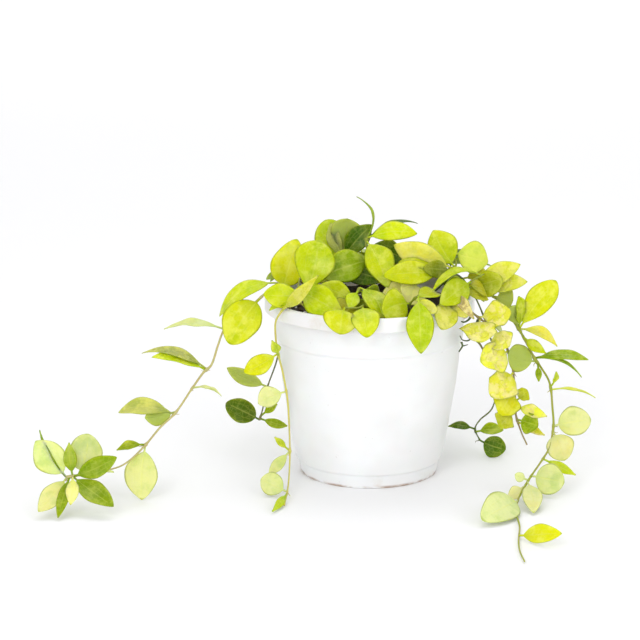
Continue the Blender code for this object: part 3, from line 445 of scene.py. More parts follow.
def mesh_piece(name, corners, faces, smooth_faces=True):
    """Mesh object at the origin from corners in millimetres and a face list."""
    mesh = bpy.data.meshes.new(name)
    mesh.from_pydata((np.asarray(corners) * MM).tolist(), [], faces)
    mesh.polygons.foreach_set("use_smooth", [smooth_faces] * len(mesh.polygons))
    mesh.update()
    obj = bpy.data.objects.new(name, mesh)
    bpy.context.scene.collection.objects.link(obj)
    return obj


def face_outward(obj):
    """Turn all the faces of a closed mesh outward."""
    shape = bmesh.new()
    shape.from_mesh(obj.data)
    bmesh.ops.recalc_face_normals(shape, faces=shape.faces)
    shape.to_mesh(obj.data)
    shape.free()
    return obj


def ring_faces(rows, around, start):
    """Quads between rings of `around` points, with a fan to a pole at each end."""
    i, k = np.meshgrid(np.arange(rows - 1), np.arange(around), indexing="ij")
    a = i * around + k
    b = i * around + (k + 1) % around
    quads = np.stack([a, b, b + around, a + around], -1).reshape(-1, 4) + start
    first = rows * around + start
    last = first + 1
    ring = np.arange(around)
    near = np.stack([np.full(around, first), start + (ring + 1) % around, start + ring], -1)
    end = start + (rows - 1) * around
    far = np.stack([np.full(around, last), end + ring, end + (ring + 1) % around], -1)
    return quads.tolist() + near.tolist() + far.tolist()


def keep_values(mesh, name, kind, field, values):
    """Value of each corner of a mesh, kept as the attribute `name`."""
    maker = mesh.color_attributes if kind == "FLOAT_COLOR" else mesh.attributes
    maker.new(name, kind, "POINT").data.foreach_set(field, values.astype(np.float32).ravel())


def blade_surface(leaf, rng, wave):
    """Closed blade: a stalk of 3 mm that widens into a lens-shaped section.

    Along u the half width is the outline's power of a sine, never under the stalk's; the
    midrib is a straight line with a parabolic arch, a little sideways bend and a tip curl.
    Across v the two halves fold up from the midrib with the size of v, the edges rise with v
    squared and ripple with a sine of u, and the blade twists evenly towards its tip. The
    half thickness is an ellipse in the stalk and a flattened one in the blade.
    """
    base, tip, width, face, arch, rise, shape = leaf
    along, up, side, length = leaf_frame(base, tip, face)
    stalk = min(0.3, max(0.12, 3.0 / length))
    widest, roundness = SHAPES[shape]
    s = 0.5 - 0.5 * np.cos(np.pi * np.linspace(0.0, 1.0, BLADE_ROWS))
    u = np.concatenate([np.linspace(0.0, stalk * 0.9, STALK_ROWS),
                        stalk + (1.0 - stalk) * s ** 0.92])
    u = np.clip(u, 0.0, 0.998)
    t = np.clip((u - stalk) / (1.0 - stalk), 0.0, 1.0)
    blade = 0.5 * width * np.sin(np.pi * t ** widest) ** roundness
    lobes = 0.03 * wave * np.sin(3.4 * np.pi * t + rng.uniform(0.0, 6.28))
    taper = np.clip((1.0 - u) / 0.02, 0.0, 1.0) ** 0.5
    half = np.maximum(STALK_HALF * taper, blade)
    swell = np.clip(t * 6.0, 0.0, 1.0)[:, None]
    even = np.linspace(-1.0, 1.0, BLADE_COLUMNS)
    v = 0.35 * np.sin(0.5 * even * np.pi) + 0.65 * even
    across = np.concatenate([v, v[-2:0:-1]])
    upper = np.concatenate([np.ones(BLADE_COLUMNS), -np.ones(BLADE_COLUMNS - 2)])
    upper[0] = upper[BLADE_COLUMNS - 1] = 0.0
    bend = rng.uniform(*BEND) * width
    curl = rng.uniform(CURL[0], CURL[1] * length)
    phase = rng.uniform(0.0, 6.28)
    ripples = rng.uniform(*RIPPLES)
    ripple = wave * rng.uniform(*RIPPLE_HEIGHT)
    edge_rise = rng.uniform(*EDGE_RISE) * min(width, 14.0) / 14.0
    fold = rng.uniform(*FOLD) * min(width, 20.0) * 0.5
    twist = rng.uniform(*TWIST)
    lopsided = rng.uniform(*LOPSIDED)
    if min(base[2], tip[2]) < NEAR_FLOOR:
        curl, fold, twist, ripple = 0.2 * curl, 0.3 * fold, 0.2 * twist, 0.5 * ripple
    lift = arch * 4.0 * u * (1.0 - u) - curl * np.clip(u - 0.65, 0.0, 1.0) ** 2 * 8.0
    share = (half / (0.5 * width))[:, None]
    half, taper, lobes = half[:, None], taper[:, None], lobes[:, None]
    uu, vv = np.meshgrid(u, across, indexing="ij")
    edge = (rise + edge_rise) * (vv * share) ** 2
    edge = edge + fold * share * (np.sqrt(vv ** 2 + 0.015) - 0.12)
    edge = edge + ripple * np.sin(2 * np.pi * ripples * uu + phase + vv) * (vv * share) ** 2
    edge = edge + 0.35 * ripple * np.sin(9.0 * uu + 4.0 * vv + phase) * share
    edge = edge + 0.18 * ripple * np.sin(17.0 * uu - 7.0 * vv + 2.0 * phase) * share
    edge = edge + twist * half * vv * np.clip(uu - stalk, 0.0, 1.0)
    round_stalk = STALK_HALF * taper * np.sqrt(np.clip(1.0 - vv ** 2, 0.0, 1.0))
    flat = BLADE_HALF * np.sqrt(np.clip(1.0 - np.abs(vv) ** 3.0, 0.0, 1.0))
    flat = flat * (0.35 + 0.65 * share ** 0.5) * taper
    thick = round_stalk * (1.0 - swell) + flat * swell
    uneven = 1.0 + (lopsided + lobes * share) * np.sign(vv)
    sideways = half * vv * uneven + bend * 4.0 * (uu * (1.0 - uu))
    out = lift[:, None] + edge + thick * upper[None, :]
    points = (base[None, None, :] + along * (length * uu)[..., None]
              + side * sideways[..., None] + up * out[..., None])
    points[..., 2] = np.maximum(points[..., 2], LOWEST)
    rows, around = uu.shape
    end = points[-1].mean(0) + along * 0.15
    corners = np.concatenate([points.reshape(-1, 3), [base, end]])
    place = np.stack([uu, vv * 0.5 + 0.5], -1).reshape(-1, 2)
    place = np.concatenate([place, [[0.0, 0.5], [1.0, 0.5]]])
    under = np.concatenate([np.tile((upper < 0).astype(float), rows), [0.0, 0.5]])
    return corners, place, under, rows, around


def leaves_piece(name, leaves, letters, wave, seed):
    """All the leaves of one stem in one mesh, with their tint, place and underside."""
    rng = np.random.default_rng(seed)
    blades, faces = [], []
    count = 0
    for i, leaf in enumerate(leaves):
        pts, place, under, rows, around = blade_surface(leaf, rng, wave)
        faces += ring_faces(rows, around, count)
        letter = letters[i % len(letters)]
        colour = np.array(linear(TINT_COLOURS[letter])) * rng.uniform(0.88, 1.1)
        colour = np.clip(colour * (1.0 + rng.uniform(-0.05, 0.05, 3)), 0.0, 1.0)
        tint = np.tile(np.append(colour, 1.0), (len(pts), 1))
        blades.append((pts, place, under, tint, np.full(len(pts), WEAR_AND_CREASE_SHADE.get(letter, 0.0))))
        count += len(pts)
    corners, place, under, tint, wear_and_crease_shade = (np.concatenate(part) for part in zip(*blades))
    obj = mesh_piece(name, corners, faces)
    mesh = obj.data
    loops = np.zeros(len(mesh.loops), np.int32)
    mesh.loops.foreach_get("vertex_index", loops)
    layer = mesh.uv_layers.new(name="blade")
    layer.data.foreach_set("uv", place[loops].astype(np.float32).ravel())
    keep_values(mesh, "tint", "FLOAT_COLOR", "color", tint)
    keep_values(mesh, "under", "FLOAT", "value", under)
    keep_values(mesh, "wear_and_crease_shade", "FLOAT", "value", wear_and_crease_shade)
    return obj


def tube_surface(line, radii, around):
    """Round tube: each ring is a circle square to the line, turned with it without a twist."""
    line = np.asarray(line, float)
    ahead = np.gradient(line, axis=0)
    ahead /= np.linalg.norm(ahead, axis=1)[:, None]
    frames = []
    first = np.cross(ahead[0], [0.31, 0.87, 0.38])
    first /= np.linalg.norm(first)
    for direction in ahead:
        first = first - direction * float(first @ direction)
        first = first / np.linalg.norm(first)
        frames.append(first.copy())
    first = np.array(frames)
    second = np.cross(ahead, first)
    turn = np.linspace(0.0, FULL_TURN, around, endpoint=False)
    ring = (first[:, None, :] * np.cos(turn)[None, :, None]
            + second[:, None, :] * np.sin(turn)[None, :, None])
    points = line[:, None, :] + ring * np.asarray(radii)[:, None, None]
    caps = [line[0] - ahead[0] * radii[0] * 0.5, line[-1] + ahead[-1] * radii[-1] * 0.6]
    return np.concatenate([points.reshape(-1, 3), caps])


def stem_piece(name, stem, foot, route, leaves, seed):
    """A stem: a tube that swells at its leaves, thins to its tip, and has short air roots."""
    rng = np.random.default_rng(seed)
    line = np.array([foot[0]] + smooth([foot[1]] + route, STEM_STEPS))
    place = np.linspace(0.0, 1.0, len(line))
    thinning = STEM_THINNING * np.clip(place - 0.5, 0.0, 1.0) * 2.0
    radii = stem["radius"] * (STEM_SHARE - thinning)
    for leaf in leaves:
        gap = np.linalg.norm(line - leaf[0], axis=1)
        radii = radii + SWELLING * np.exp(-(gap / SWELLING_REACH) ** 2)
    radii = np.minimum(radii, stem["radius"] * 1.1) * (1.0 + 0.05 * np.sin(23.0 * place + seed))
    tubes = [(line, radii, STEM_ROUND)]
    steps = np.linspace(0.0, 1.0, ROOT_POINTS)
    for leaf in leaves:
        if (rng.random() > ROOT_ODDS
                or leaf[0][2] > CROWN_LOW and rng.random() > CROWN_ROOT_ODDS):
            continue
        reach = rng.normal(size=3)
        reach[2] = -abs(reach[2])
        reach = reach / np.linalg.norm(reach) * rng.uniform(*ROOT_REACH)
        swirl = rng.normal(size=3) * 0.8
        way = steps[:, None]
        root = leaf[0] + reach * way + swirl * np.sin(np.pi * way) * way
        root[:, 2] = np.maximum(root[:, 2], 0.5)
        tubes.append((root, ROOT_THICK - 0.2 * steps, ROOT_SIDES))
    green = len(tubes)
    for path, thick in CURLS.get(name, []):
        thread = np.array(smooth([seen(*p) for p in path], 6))
        tubes.append((thread, np.linspace(thick, thick * 0.5, len(thread)), 6))
    corners, faces, colours = [], [], []
    count = 0
    for i, (path, thick, around) in enumerate(tubes):
        corners.append(tube_surface(path, thick, around))
        faces += ring_faces(len(path), around, count)
        shade = stem.get("stalk", STALK_TINT) if i < green else CURL_TINT
        colours.append(np.tile([*linear(shade), 1.0], (len(corners[-1]), 1)))
        count += len(corners[-1])
    obj = mesh_piece(name + "_stalk", np.concatenate(corners), faces)
    keep_values(obj.data, "tint", "FLOAT_COLOR", "color", np.concatenate(colours))
    return obj


# ---- materials ----

MOTTLE_VALUES = {"Scale": 60.0, "Low": 0.4, "High": 0.7, "Detail": 3.0, "Breakup": 0.55}


def mottle_group():
    """Shared effect: noise on a place, as a plain tone and as a mask that rises smoothly."""
    group = bpy.data.node_groups.new("mottle", "ShaderNodeTree")
    sockets = group.interface
    sockets.new_socket("Place", in_out="INPUT", socket_type="NodeSocketVector")
    for name, value in MOTTLE_VALUES.items():
        socket = sockets.new_socket(name, in_out="INPUT", socket_type="NodeSocketFloat")
        socket.default_value = value
    sockets.new_socket("Mask", in_out="OUTPUT", socket_type="NodeSocketFloat")
    sockets.new_socket("Tone", in_out="OUTPUT", socket_type="NodeSocketFloat")
    start = group.nodes.new("NodeGroupInput").outputs
    end = group.nodes.new("NodeGroupOutput").inputs
    cloud = group.nodes.new("ShaderNodeTexNoise")
    rise = group.nodes.new("ShaderNodeMapRange")
    rise.interpolation_type = "SMOOTHSTEP"
    for out, into in ((start["Place"], cloud.inputs["Vector"]),
                      (start["Scale"], cloud.inputs["Scale"]),
                      (start["Detail"], cloud.inputs["Detail"]),
                      (start["Breakup"], cloud.inputs["Roughness"]),
                      (cloud.outputs[0], rise.inputs["Value"]),
                      (start["Low"], rise.inputs["From Min"]),
                      (start["High"], rise.inputs["From Max"]),
                      (rise.outputs[0], end["Mask"]), (cloud.outputs[0], end["Tone"])):
        group.links.new(out, into)
    return group


MOTTLE = mottle_group()


class Finish:
    """A material being made: its node tree, its shader, and the place on the object."""

    def __init__(self, name):
        self.material = bpy.data.materials.new(name)
        self.material.use_nodes = True
        self.tree = self.material.node_tree
        self.shader = self.tree.nodes["Principled BSDF"]
        self.place = self.node("ShaderNodeTexCoord").outputs["Object"]

    def node(self, kind, **settings):
        """New node with its settings."""
        node = self.tree.nodes.new(kind)
        for key, value in settings.items():
            setattr(node, key, value)
        return node

    def feed(self, socket, value):
        """Give an input a number, a colour, or the output that it is linked to."""
        if isinstance(value, bpy.types.NodeSocket):
            self.tree.links.new(value, socket)
        elif isinstance(value, tuple) and socket.type == "RGBA":
            socket.default_value = (*value, 1.0)
        else:
            socket.default_value = value

    def shade(self, **values):
        """Values of the shader's inputs, named with _ for each space."""
        for name, value in values.items():
            self.feed(self.shader.inputs[name.replace("_", " ")], value)

    def attribute(self, name, output="Fac"):
        """An attribute of the mesh."""
        return self.node("ShaderNodeAttribute", attribute_name=name).outputs[output]

    def parts(self, value, kind="ShaderNodeSeparateXYZ"):
        """The three parts of a vector or colour."""
        node = self.node(kind)
        self.feed(node.inputs[0], value)
        return node.outputs

    def math(self, operation, *values):
        """Math on sockets and numbers."""
        node = self.node("ShaderNodeMath", operation=operation)
        for socket, value in zip(node.inputs, values):
            self.feed(socket, value)
        return node.outputs[0]

    def times(self, a, b):
        """One value times another."""
        return self.math("MULTIPLY", a, b)

    def blend(self, amount, a, b, mode="MIX"):
        """Colour a turned into colour b by an amount."""
        node = self.node("ShaderNodeMix", data_type="RGBA", blend_type=mode)
        for number, value in ((0, amount), (6, a), (7, b)):
            self.feed(node.inputs[number], value)
        return node.outputs[2]

    def over(self, body, mask, strength, colour):
        """A colour laid over the body where the mask is, at a strength."""
        return self.blend(self.times(mask, strength), body, colour)

    def filtered(self, body, colour):
        """The body seen through a coloured filter."""
        return self.blend(1.0, body, colour, "MULTIPLY")

    def mottle(self, scale, low=0.4, high=0.7, detail=3.0, breakup=0.55):
        """The shared mottle with this material's own values: its mask and its plain tone."""
        node = self.node("ShaderNodeGroup", node_tree=MOTTLE)
        self.feed(node.inputs["Place"], self.place)
        for name, value in zip(MOTTLE_VALUES, (scale, low, high, detail, breakup)):
            node.inputs[name].default_value = value
        return node.outputs["Mask"], node.outputs["Tone"]

    def ramp(self, value, low, high):
        """0 under `low`, 1 over `high`, and smooth between."""
        node = self.node("ShaderNodeMapRange", interpolation_type="SMOOTHSTEP")
        for name, given in (("Value", value), ("From Min", low), ("From Max", high)):
            self.feed(node.inputs[name], given)
        return node.outputs[0]

    def bump(self, height, strength, distance):
        """Fine relief of the surface from a height."""
        node = self.node("ShaderNodeBump")
        for name, value in (("Strength", strength), ("Distance", distance), ("Height", height)):
            self.feed(node.inputs[name], value)
        self.shade(Normal=node.outputs[0])


def leaf_finish():
    """Fleshy leaf: tint, mottling partly painted as shade, midrib and side veins, a darker edge
    and a pale underside.
    """
    f = Finish("fleshy_leaf")
    u, v, _ = f.parts(f.node("ShaderNodeUVMap", uv_map="blade").outputs[0])
    across = f.math("ABSOLUTE", f.math("MULTIPLY_ADD", v, 2.0, -1.0))
    tint = f.attribute("tint", "Color")
    under = f.attribute("under")
    wear_and_crease_shade = f.attribute("wear_and_crease_shade")
    pale_spots, dimples = f.mottle(150.0, 0.46, 0.66, 3.0, 0.6)
    green_mottle_and_shade = f.mottle(95.0, 0.44, 0.68, 3.0, 0.6)[0]
    warm_spots = f.mottle(40.0, 0.52, 0.66, 2.0)[0]
    fine = f.mottle(700.0, detail=4.0, breakup=0.6)[1]
    shown = f.parts(tint, "ShaderNodeSeparateColor")
    light_leaf = f.times(f.ramp(shown[1], 0.08, 0.6), f.ramp(shown[2], 0.30, 0.12))
    pale = f.blend(f.math("MULTIPLY_ADD", light_leaf, 0.28, 0.08), tint, (0.86, 0.84, 0.22))
    greener = f.filtered(tint, (0.58, 0.75, 0.45))
    body = f.over(tint, warm_spots, 0.45, f.filtered(tint, (1.0, 0.91, 0.60)))
    # Greener patches: partly the leaf's own mottling, partly painted shade.
    body = f.over(body, green_mottle_and_shade, 0.55, greener)
    body = f.over(body, pale_spots, 0.8, pale)
    # Old leaves: cream patches, and creases along the middle level of a noise, painted darker
    # and browner as the shade in the crumples.
    cream = f.times(f.mottle(190.0, 0.45, 0.56, 4.0, 0.6)[0], wear_and_crease_shade)
    body = f.over(body, cream, 0.75, (0.84, 0.72, 0.30))
    level = f.math("SUBTRACT", f.mottle(130.0, 0.2, 0.8, 2.0, 0.5)[1], 0.5)
    shaded_crease = f.times(f.ramp(f.math("ABSOLUTE", level), 0.035, 0.0), wear_and_crease_shade)
    body = f.over(body, shaded_crease, 0.28, f.filtered(body, (0.66, 0.62, 0.30)))
    body = f.over(body, f.ramp(u, 0.5, 0.08), 0.45, greener)
    # Veins: a midrib, and two side veins that keep a fixed share of the half width.
    rib = f.ramp(across, 0.09, 0.015)
    side_vein = f.ramp(f.math("ABSOLUTE", f.math("SUBTRACT", across, 0.46)), 0.045, 0.008)
    vein = f.times(f.math("MAXIMUM", rib, f.times(side_vein, 0.45)), f.ramp(u, 0.97, 0.75))
    body = f.over(body, vein, 0.20, (0.72, 0.74, 0.18))
    net = f.node("ShaderNodeTexVoronoi", feature="DISTANCE_TO_EDGE")
    f.feed(net.inputs["Scale"], 330.0)
    f.feed(net.inputs["Vector"], f.place)
    body = f.over(body, f.ramp(net.outputs["Distance"], 0.10, 0.0), 0.10, (0.70, 0.74, 0.20))
    lower = f.blend(0.5, tint, (0.30, 0.42, 0.07))
    lower = f.over(lower, fine, 0.25, (0.45, 0.52, 0.16))
    body = f.blend(under, body, lower)
    rim = f.math("MAXIMUM", f.ramp(across, 0.87, 0.975), f.ramp(u, 0.955, 0.99))
    body = f.over(body, rim, 0.75, f.filtered(body, (0.40, 0.52, 0.20)))
    body = f.over(body, f.mottle(1500.0, 0.70, 0.76, 2.0, 0.5)[0], 0.35, (0.35, 0.30, 0.08))
    gloss = f.math("ADD", f.math("MULTIPLY_ADD", fine, 0.18, 0.24), f.times(under, 0.22))
    sheen = f.mottle(60.0, 0.50, 0.62, 2.0)[0]
    sheen = f.times(sheen, f.math("MULTIPLY_ADD", under, -0.35, 0.40))
    f.shade(Base_Color=body, Roughness=gloss, Coat_Weight=sheen, Coat_Roughness=0.28,
            Subsurface_Weight=0.6, Subsurface_Radius=(0.9, 0.8, 0.2), Subsurface_Scale=0.004,
            Specular_IOR_Level=0.12)
    height = f.math("MULTIPLY_ADD", vein, -0.25, f.times(fine, 0.2))
    height = f.math("MULTIPLY_ADD", dimples, 1.6, height)
    height = f.math("MULTIPLY_ADD", shaded_crease, -0.8, height)
    f.bump(height, 0.5, 0.0012)
    return f.material


def stalk_finish():
    """Thin stem: yellow green to tan, with fine rings and a dull sheen."""
    f = Finish("thin_stem")
    broad = f.mottle(45.0, 0.45, 0.70, 2.0)[0]
    fine = f.mottle(900.0)[1]
    tint = f.attribute("tint", "Color")
    green = f.blend(broad, tint, f.blend(0.40, tint, (0.46, 0.36, 0.16)))
    body = f.over(green, fine, 0.5, f.filtered(green, (0.45, 0.45, 0.40)))
    f.shade(Base_Color=body, Roughness=0.5, Subsurface_Weight=0.15, Subsurface_Scale=0.002)
    f.bump(fine, 0.4, 0.0003)
    return f.material


def pot_finish():
    """White moulded plastic: slightly uneven gloss, grey specks, and brown marks at the foot."""
    f = Finish("white_pot_plastic")
    height = f.parts(f.place)[2]
    uneven, broad = f.mottle(18.0, 0.35, 0.7)
    fine = f.mottle(420.0)[1]
    body = f.blend(uneven, (0.86, 0.86, 0.87), (0.79, 0.785, 0.785))
    body = f.over(body, f.mottle(620.0, 0.72, 0.78, 2.0, 0.5)[0], 0.35, (0.40, 0.36, 0.32))
    # Brown stain at the foot, a paler one over it, and dust under the lip: full and zero
    # height in metres, the mottle's values, the strength and the colour.
    for zero, full, mottle, strength, colour in (
            (0.0022, 0.0004, (60.0, 0.38, 0.58, 3.0, 0.6), 0.8, (0.30, 0.15, 0.06)),
            (0.012, 0.001, (45.0, 0.55, 0.75, 4.0, 0.65), 0.35, (0.55, 0.42, 0.28)),
            (0.088, 0.108, (70.0, 0.56, 0.78, 4.0, 0.65), 0.35, (0.62, 0.52, 0.38))):
        stain = f.times(f.ramp(height, zero, full), f.mottle(*mottle)[0])
        body = f.over(body, stain, strength, colour)
    f.shade(Base_Color=body, Roughness=f.math("MULTIPLY_ADD", fine, 0.14, 0.24),
            Subsurface_Weight=0.1, Subsurface_Scale=0.004)
    f.bump(f.math("ADD", f.times(fine, 0.2), broad), 0.12, 0.0008)
    return f.material


def mix_finish(name, dark, light, scale):
    """Crumbly mix or grit: two tones mottled by noise, rough."""
    f = Finish(name)
    patch, tone = f.mottle(scale, 0.35, 0.7, 5.0, 0.7)
    f.shade(Base_Color=f.blend(patch, dark, light), Roughness=0.92)
    f.bump(tone, 0.8, 0.001)
    return f.material


# ---- pot and mix ----

def turned_surface(profile, around):
    """Surface of revolution: each profile point (radius, height) swept once about +Z."""
    profile = np.array(profile, float)
    turn = np.linspace(0.0, FULL_TURN, around, endpoint=False)
    points = np.stack([profile[:, 0, None] * np.cos(turn), profile[:, 0, None] * np.sin(turn),
                       np.repeat(profile[:, 1, None], around, 1)], -1)
    return points.reshape(-1, 3)


def rounded(profile, radius, steps=4):
    """Profile with each corner replaced by a short quadratic curve."""
    pts = [np.array(p, float) for p in profile]
    out = [pts[0]]
    for a, b, c in zip(pts, pts[1:], pts[2:]):
        before = a - b
        after = c - b
        la, lc = np.linalg.norm(before), np.linalg.norm(after)
        reach = min(radius, 0.45 * la, 0.45 * lc)
        p, q = b + before / la * reach, b + after / lc * reach
        for k in range(steps + 1):
            t = k / steps
            out.append((1 - t) ** 2 * p + 2 * t * (1 - t) * b + t ** 2 * q)
    out.append(pts[-1])
    return out


def turned_piece(name, profile, around):
    """Closed turned body: the profile runs from pole to pole, over the top and down outside."""
    pts = turned_surface(profile[1:-1], around)
    poles = [[0.0, 0.0, profile[0][1]], [0.0, 0.0, profile[-1][1]]]
    faces = ring_faces(len(profile) - 2, around, 0)
    return face_outward(mesh_piece(name, np.concatenate([pts, poles]), faces))


def pot_piece():
    """Pot: a turned shell with rounded edges, less the drain holes, which are cut through."""
    inside = [(radius - WALL, max(z, FLOOR_TOP)) for radius, z in reversed(POT_OUTSIDE[3:10])]
    inside[0] = (POT_OUTSIDE[9][0] - WALL - 1.0, FLOOR_TOP)
    foot = POT_OUTSIDE[-1][0] - FOOT_WIDTH
    profile = [(0.0, FLOOR_TOP), (GATE_RADIUS, FLOOR_TOP)] + inside
    profile += [(LIP_INSIDE, 103.4), (MOUTH, POT_HEIGHT)] + POT_OUTSIDE
    profile += [(foot, 0.0), (foot + 0.3, FLOOR_UNDER), (PAD_RADIUS + 0.4, FLOOR_UNDER),
                (PAD_RADIUS, 0.0), (GATE_RADIUS, 0.0), (0.0, 0.0)]
    pot = turned_piece("pot_shell", rounded(profile, EDGE_ROUND), POT_AROUND)
    cutters = []
    ring = turned_surface([(DRAIN_RADIUS, z) for z in DRAIN_CUT], DRAIN_AROUND)
    ring = np.concatenate([ring, [[0, 0, z] for z in DRAIN_CUT]])
    for k in range(DRAIN_HOLES):
        turn = FULL_TURN * (k + 0.5) / DRAIN_HOLES
        there = [DRAIN_RING * math.cos(turn), DRAIN_RING * math.sin(turn), 0.0]
        cutter = mesh_piece("drain_cutter", ring + there, ring_faces(2, DRAIN_AROUND, 0))
        step = pot.modifiers.new("drain", "BOOLEAN")
        step.operation = "DIFFERENCE"
        step.solver = "EXACT"
        step.object = face_outward(cutter)
        cutters.append(cutter)
    graph = bpy.context.evaluated_depsgraph_get()
    made = bpy.data.meshes.new_from_object(pot.evaluated_get(graph))
    pot.modifiers.clear()
    pot.data = made
    for cutter in cutters:
        bpy.data.objects.remove(cutter, do_unlink=True)
    made.polygons.foreach_set("use_smooth", [True] * len(made.polygons))
    made.set_sharp_from_angle(angle=math.radians(50))
    return pot


def mix_top(x, y):
    """Height of the mix: a low dome with two ripples."""
    far = (x * x + y * y) / MIX_RADIUS ** 2
    lump = 0.7 * np.sin(0.31 * x + 1.0) * np.sin(0.27 * y + 0.4)
    lump = lump + 0.4 * np.sin(0.9 * x + 0.7 * y)
    dome = MIX_MIDDLE - (MIX_MIDDLE - MIX_EDGE) * far
    return dome + lump * np.clip(1.1 - far, 0.0, 1.0) - 0.6


def mix_piece():
    """Mix: rings of points out to the wall with their heights from the dome, then the sides."""
    radii = np.linspace(1.5, MIX_SPREAD, MIX_RINGS)
    turn = np.linspace(0.0, FULL_TURN, MIX_AROUND, endpoint=False)
    rr, aa = np.meshgrid(radii, turn, indexing="ij")
    rng = np.random.default_rng(5)
    x, y = rr * np.cos(aa), rr * np.sin(aa)
    z = mix_top(x, y) + rng.uniform(-0.35, 0.35, x.shape)
    top = np.stack([x, y, z], -1).reshape(-1, 3)
    gap = WALL + MIX_GAP
    side = [(56.2, 100.8), (POT_OUTSIDE[4][0] - gap - 0.3, 92.0),
            (POT_OUTSIDE[7][0] - gap - 0.1, 56.8), (41.0, 5.4)]
    poles = [[0.0, 0.0, float(mix_top(0.0, 0.0))], [0.0, 0.0, side[-1][1]]]
    corners = np.concatenate([top, turned_surface(side, MIX_AROUND), poles])
    faces = ring_faces(MIX_RINGS + len(side), MIX_AROUND, 0)
    return face_outward(mesh_piece("potting_mix_body", corners, faces))


CRUMB_SPREAD = 56.0
BALL_ROWS = 4
BALL_AROUND = 7


def crumbs_piece(name, count, low, high, seed, squash):
    """Loose lumps on the mix: small rough balls, each a sphere grid with its own radii."""
    rng = np.random.default_rng(seed)
    lat = np.linspace(0.25, math.pi - 0.25, BALL_ROWS)
    lon = np.linspace(0.0, FULL_TURN, BALL_AROUND, endpoint=False)
    la, lo = np.meshgrid(lat, lon, indexing="ij")
    ball = np.stack([np.sin(la) * np.cos(lo), np.sin(la) * np.sin(lo), np.cos(la)], -1)
    ball = np.concatenate([ball.reshape(-1, 3), [[0, 0, 1], [0, 0, -1]]])
    corners, faces = [], []
    for _ in range(count):
        size = rng.uniform(low, high)
        far = CRUMB_SPREAD * math.sqrt(rng.random())
        turn = rng.uniform(0.0, FULL_TURN)
        x, y = far * math.cos(turn), far * math.sin(turn)
        stretch = rng.uniform(0.6, 1.3, 3) * [1.0, 1.0, squash]
        lump = ball * stretch * size * rng.uniform(0.8, 1.15, (len(ball), 1))
        spin = rng.uniform(0.0, math.pi)
        c, s = math.cos(spin), math.sin(spin)
        spun = lump @ np.array([[c, s, 0.0], [-s, c, 0.0], [0.0, 0.0, 1.0]])
        start = len(corners) * len(ball)
        faces += [f[::-1] for f in ring_faces(BALL_ROWS, BALL_AROUND, start)]
        corners.append(spun + [x, y, float(mix_top(x, y)) + 0.25 * size])
    return mesh_piece(name, np.concatenate(corners), faces, False)


# ---- stage ----

FLOOR_FRONT = -9000.0
FLOOR_BACK = 2400.0
FLOOR_BEND = 900.0
WALL_TOP = 3600.0
FLOOR_SIDE = 4500.0
FLOOR_COLOUR = (0.90, 0.90, 0.915)
WORLD_LIGHT = 0.74
BACK_GLOW = (0.22, 0.22, 0.21)
BACK_GLOW_FROM = 0.5
BACK_GLOW_FULL = 2.4
# Each lamp: name, place and aim in metres, size in metres, power in watts.
LAMPS = [
    ("key", (-0.7, -1.9, 1.2), (0.0, 0.0, 0.05), (1.1, 1.1), 15.0),
    ("fill", (1.3, -1.5, 0.8), (0.0, 0.0, 0.05), (1.1, 1.1), 7.0),
    ("top", (0.1, 0.5, 1.8), (0.0, 0.0, 0.05), (1.2, 1.2), 9.0),
    ("front", (-0.1, -2.3, 0.5), (0.0, 0.0, 0.1), (0.9, 0.6), 3.0),
]
LENS = 146.25
PITCH = 0.2435


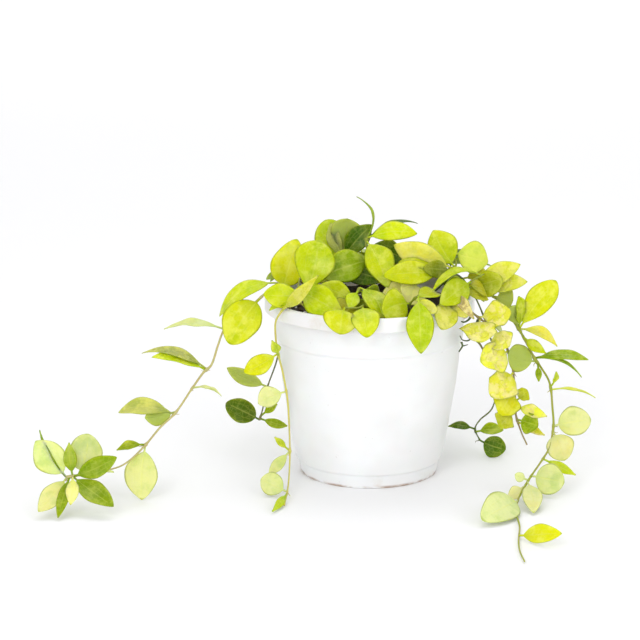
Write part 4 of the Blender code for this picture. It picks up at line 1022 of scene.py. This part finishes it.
def studio():
    """Pale floor that curves up far behind, white surroundings, soft lamps and the camera.

    The floor's section is flat, then a quarter circle, then an upright wall.
    """
    bend = np.linspace(0.0, 0.5 * np.pi, 24)
    side = [(FLOOR_FRONT, 0.0)] + list(zip(FLOOR_BACK + FLOOR_BEND * np.sin(bend),
                                           FLOOR_BEND - FLOOR_BEND * np.cos(bend)))
    side.append((FLOOR_BACK + FLOOR_BEND, WALL_TOP))
    n = len(side)
    corners = [(x, y, z) for x in (-FLOOR_SIDE, FLOOR_SIDE) for y, z in side]
    faces = [(i, i + n, i + n + 1, i + 1) for i in range(n - 1)]
    floor = mesh_piece("studio_floor", corners, faces)
    f = Finish("studio_white")
    far = f.ramp(f.parts(f.place)[1], BACK_GLOW_FROM, BACK_GLOW_FULL)
    f.shade(Base_Color=FLOOR_COLOUR, Roughness=0.7, Specular_IOR_Level=0.2,
            Emission_Color=f.blend(far, (0.0, 0.0, 0.0), BACK_GLOW), Emission_Strength=1.0)
    floor.data.materials.append(f.material)
    scene = bpy.context.scene
    scene.world = bpy.data.worlds.new("studio")
    scene.world.use_nodes = True
    light = scene.world.node_tree.nodes["Background"].inputs
    light[0].default_value = (1.0, 1.0, 1.0, 1.0)
    light[1].default_value = WORLD_LIGHT
    for name, place, aim, size, power in LAMPS:
        lamp = bpy.data.lights.new(name, "AREA")
        lamp.shape = "RECTANGLE"
        lamp.size, lamp.size_y = size
        lamp.energy = power
        obj = bpy.data.objects.new(name, lamp)
        obj.location = place
        obj.rotation_euler = (Vector(aim) - Vector(place)).to_track_quat("-Z", "Y").to_euler()
        scene.collection.objects.link(obj)
    camera = bpy.data.cameras.new("view")
    camera.lens = LENS
    camera.sensor_width = 36.0
    camera.clip_end = 50.0
    obj = bpy.data.objects.new("view", camera)
    obj.location = Vector(EYE) * MM
    obj.rotation_euler = (math.pi / 2 - PITCH, 0.0, 0.0)
    scene.collection.objects.link(obj)
    scene.camera = obj
    scene.view_settings.view_transform = "Standard"


def dress(piece, material, node):
    """Give a piece its material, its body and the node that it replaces."""
    piece.data.materials.clear()
    piece.data.materials.append(material)
    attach(piece, "root")
    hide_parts(node)


leaf = leaf_finish()
stalk = stalk_finish()
pair_rng = random.Random(7)
for number, (name, stem) in enumerate(ALL_STEMS.items()):
    foot, route = stem_line(stem)
    if name in STEMS:
        leaves = drawn_leaves(stem, route)
    else:
        leaves = paired_leaves(stem, route, pair_rng)
    blades = leaves_piece(name + "_leaves", leaves, stem.get("tints", BACK_TINTS),
                          stem.get("wave", USUAL_WAVE), 100 + number)
    dress(blades, leaf, name)
    tube = stem_piece(name, stem, foot, route, leaves, 300 + number)
    dress(tube, stalk, name)
dress(pot_piece(), pot_finish(), "pot")
for piece, *looks in (
        (mix_piece(), "dark_mix", (0.012, 0.008, 0.005), (0.06, 0.035, 0.02), 500.0),
        (crumbs_piece("mix_crumbs", 420, 0.7, 2.0, 11, 0.7),
         "dark_crumbs", (0.02, 0.012, 0.008), (0.10, 0.06, 0.035), 700.0),
        (crumbs_piece("mix_grit", 90, 0.7, 1.8, 12, 0.85),
         "pale_grit", (0.62, 0.60, 0.56), (0.86, 0.85, 0.82), 900.0)):
    dress(piece, mix_finish(*looks), "potting_mix")
studio()
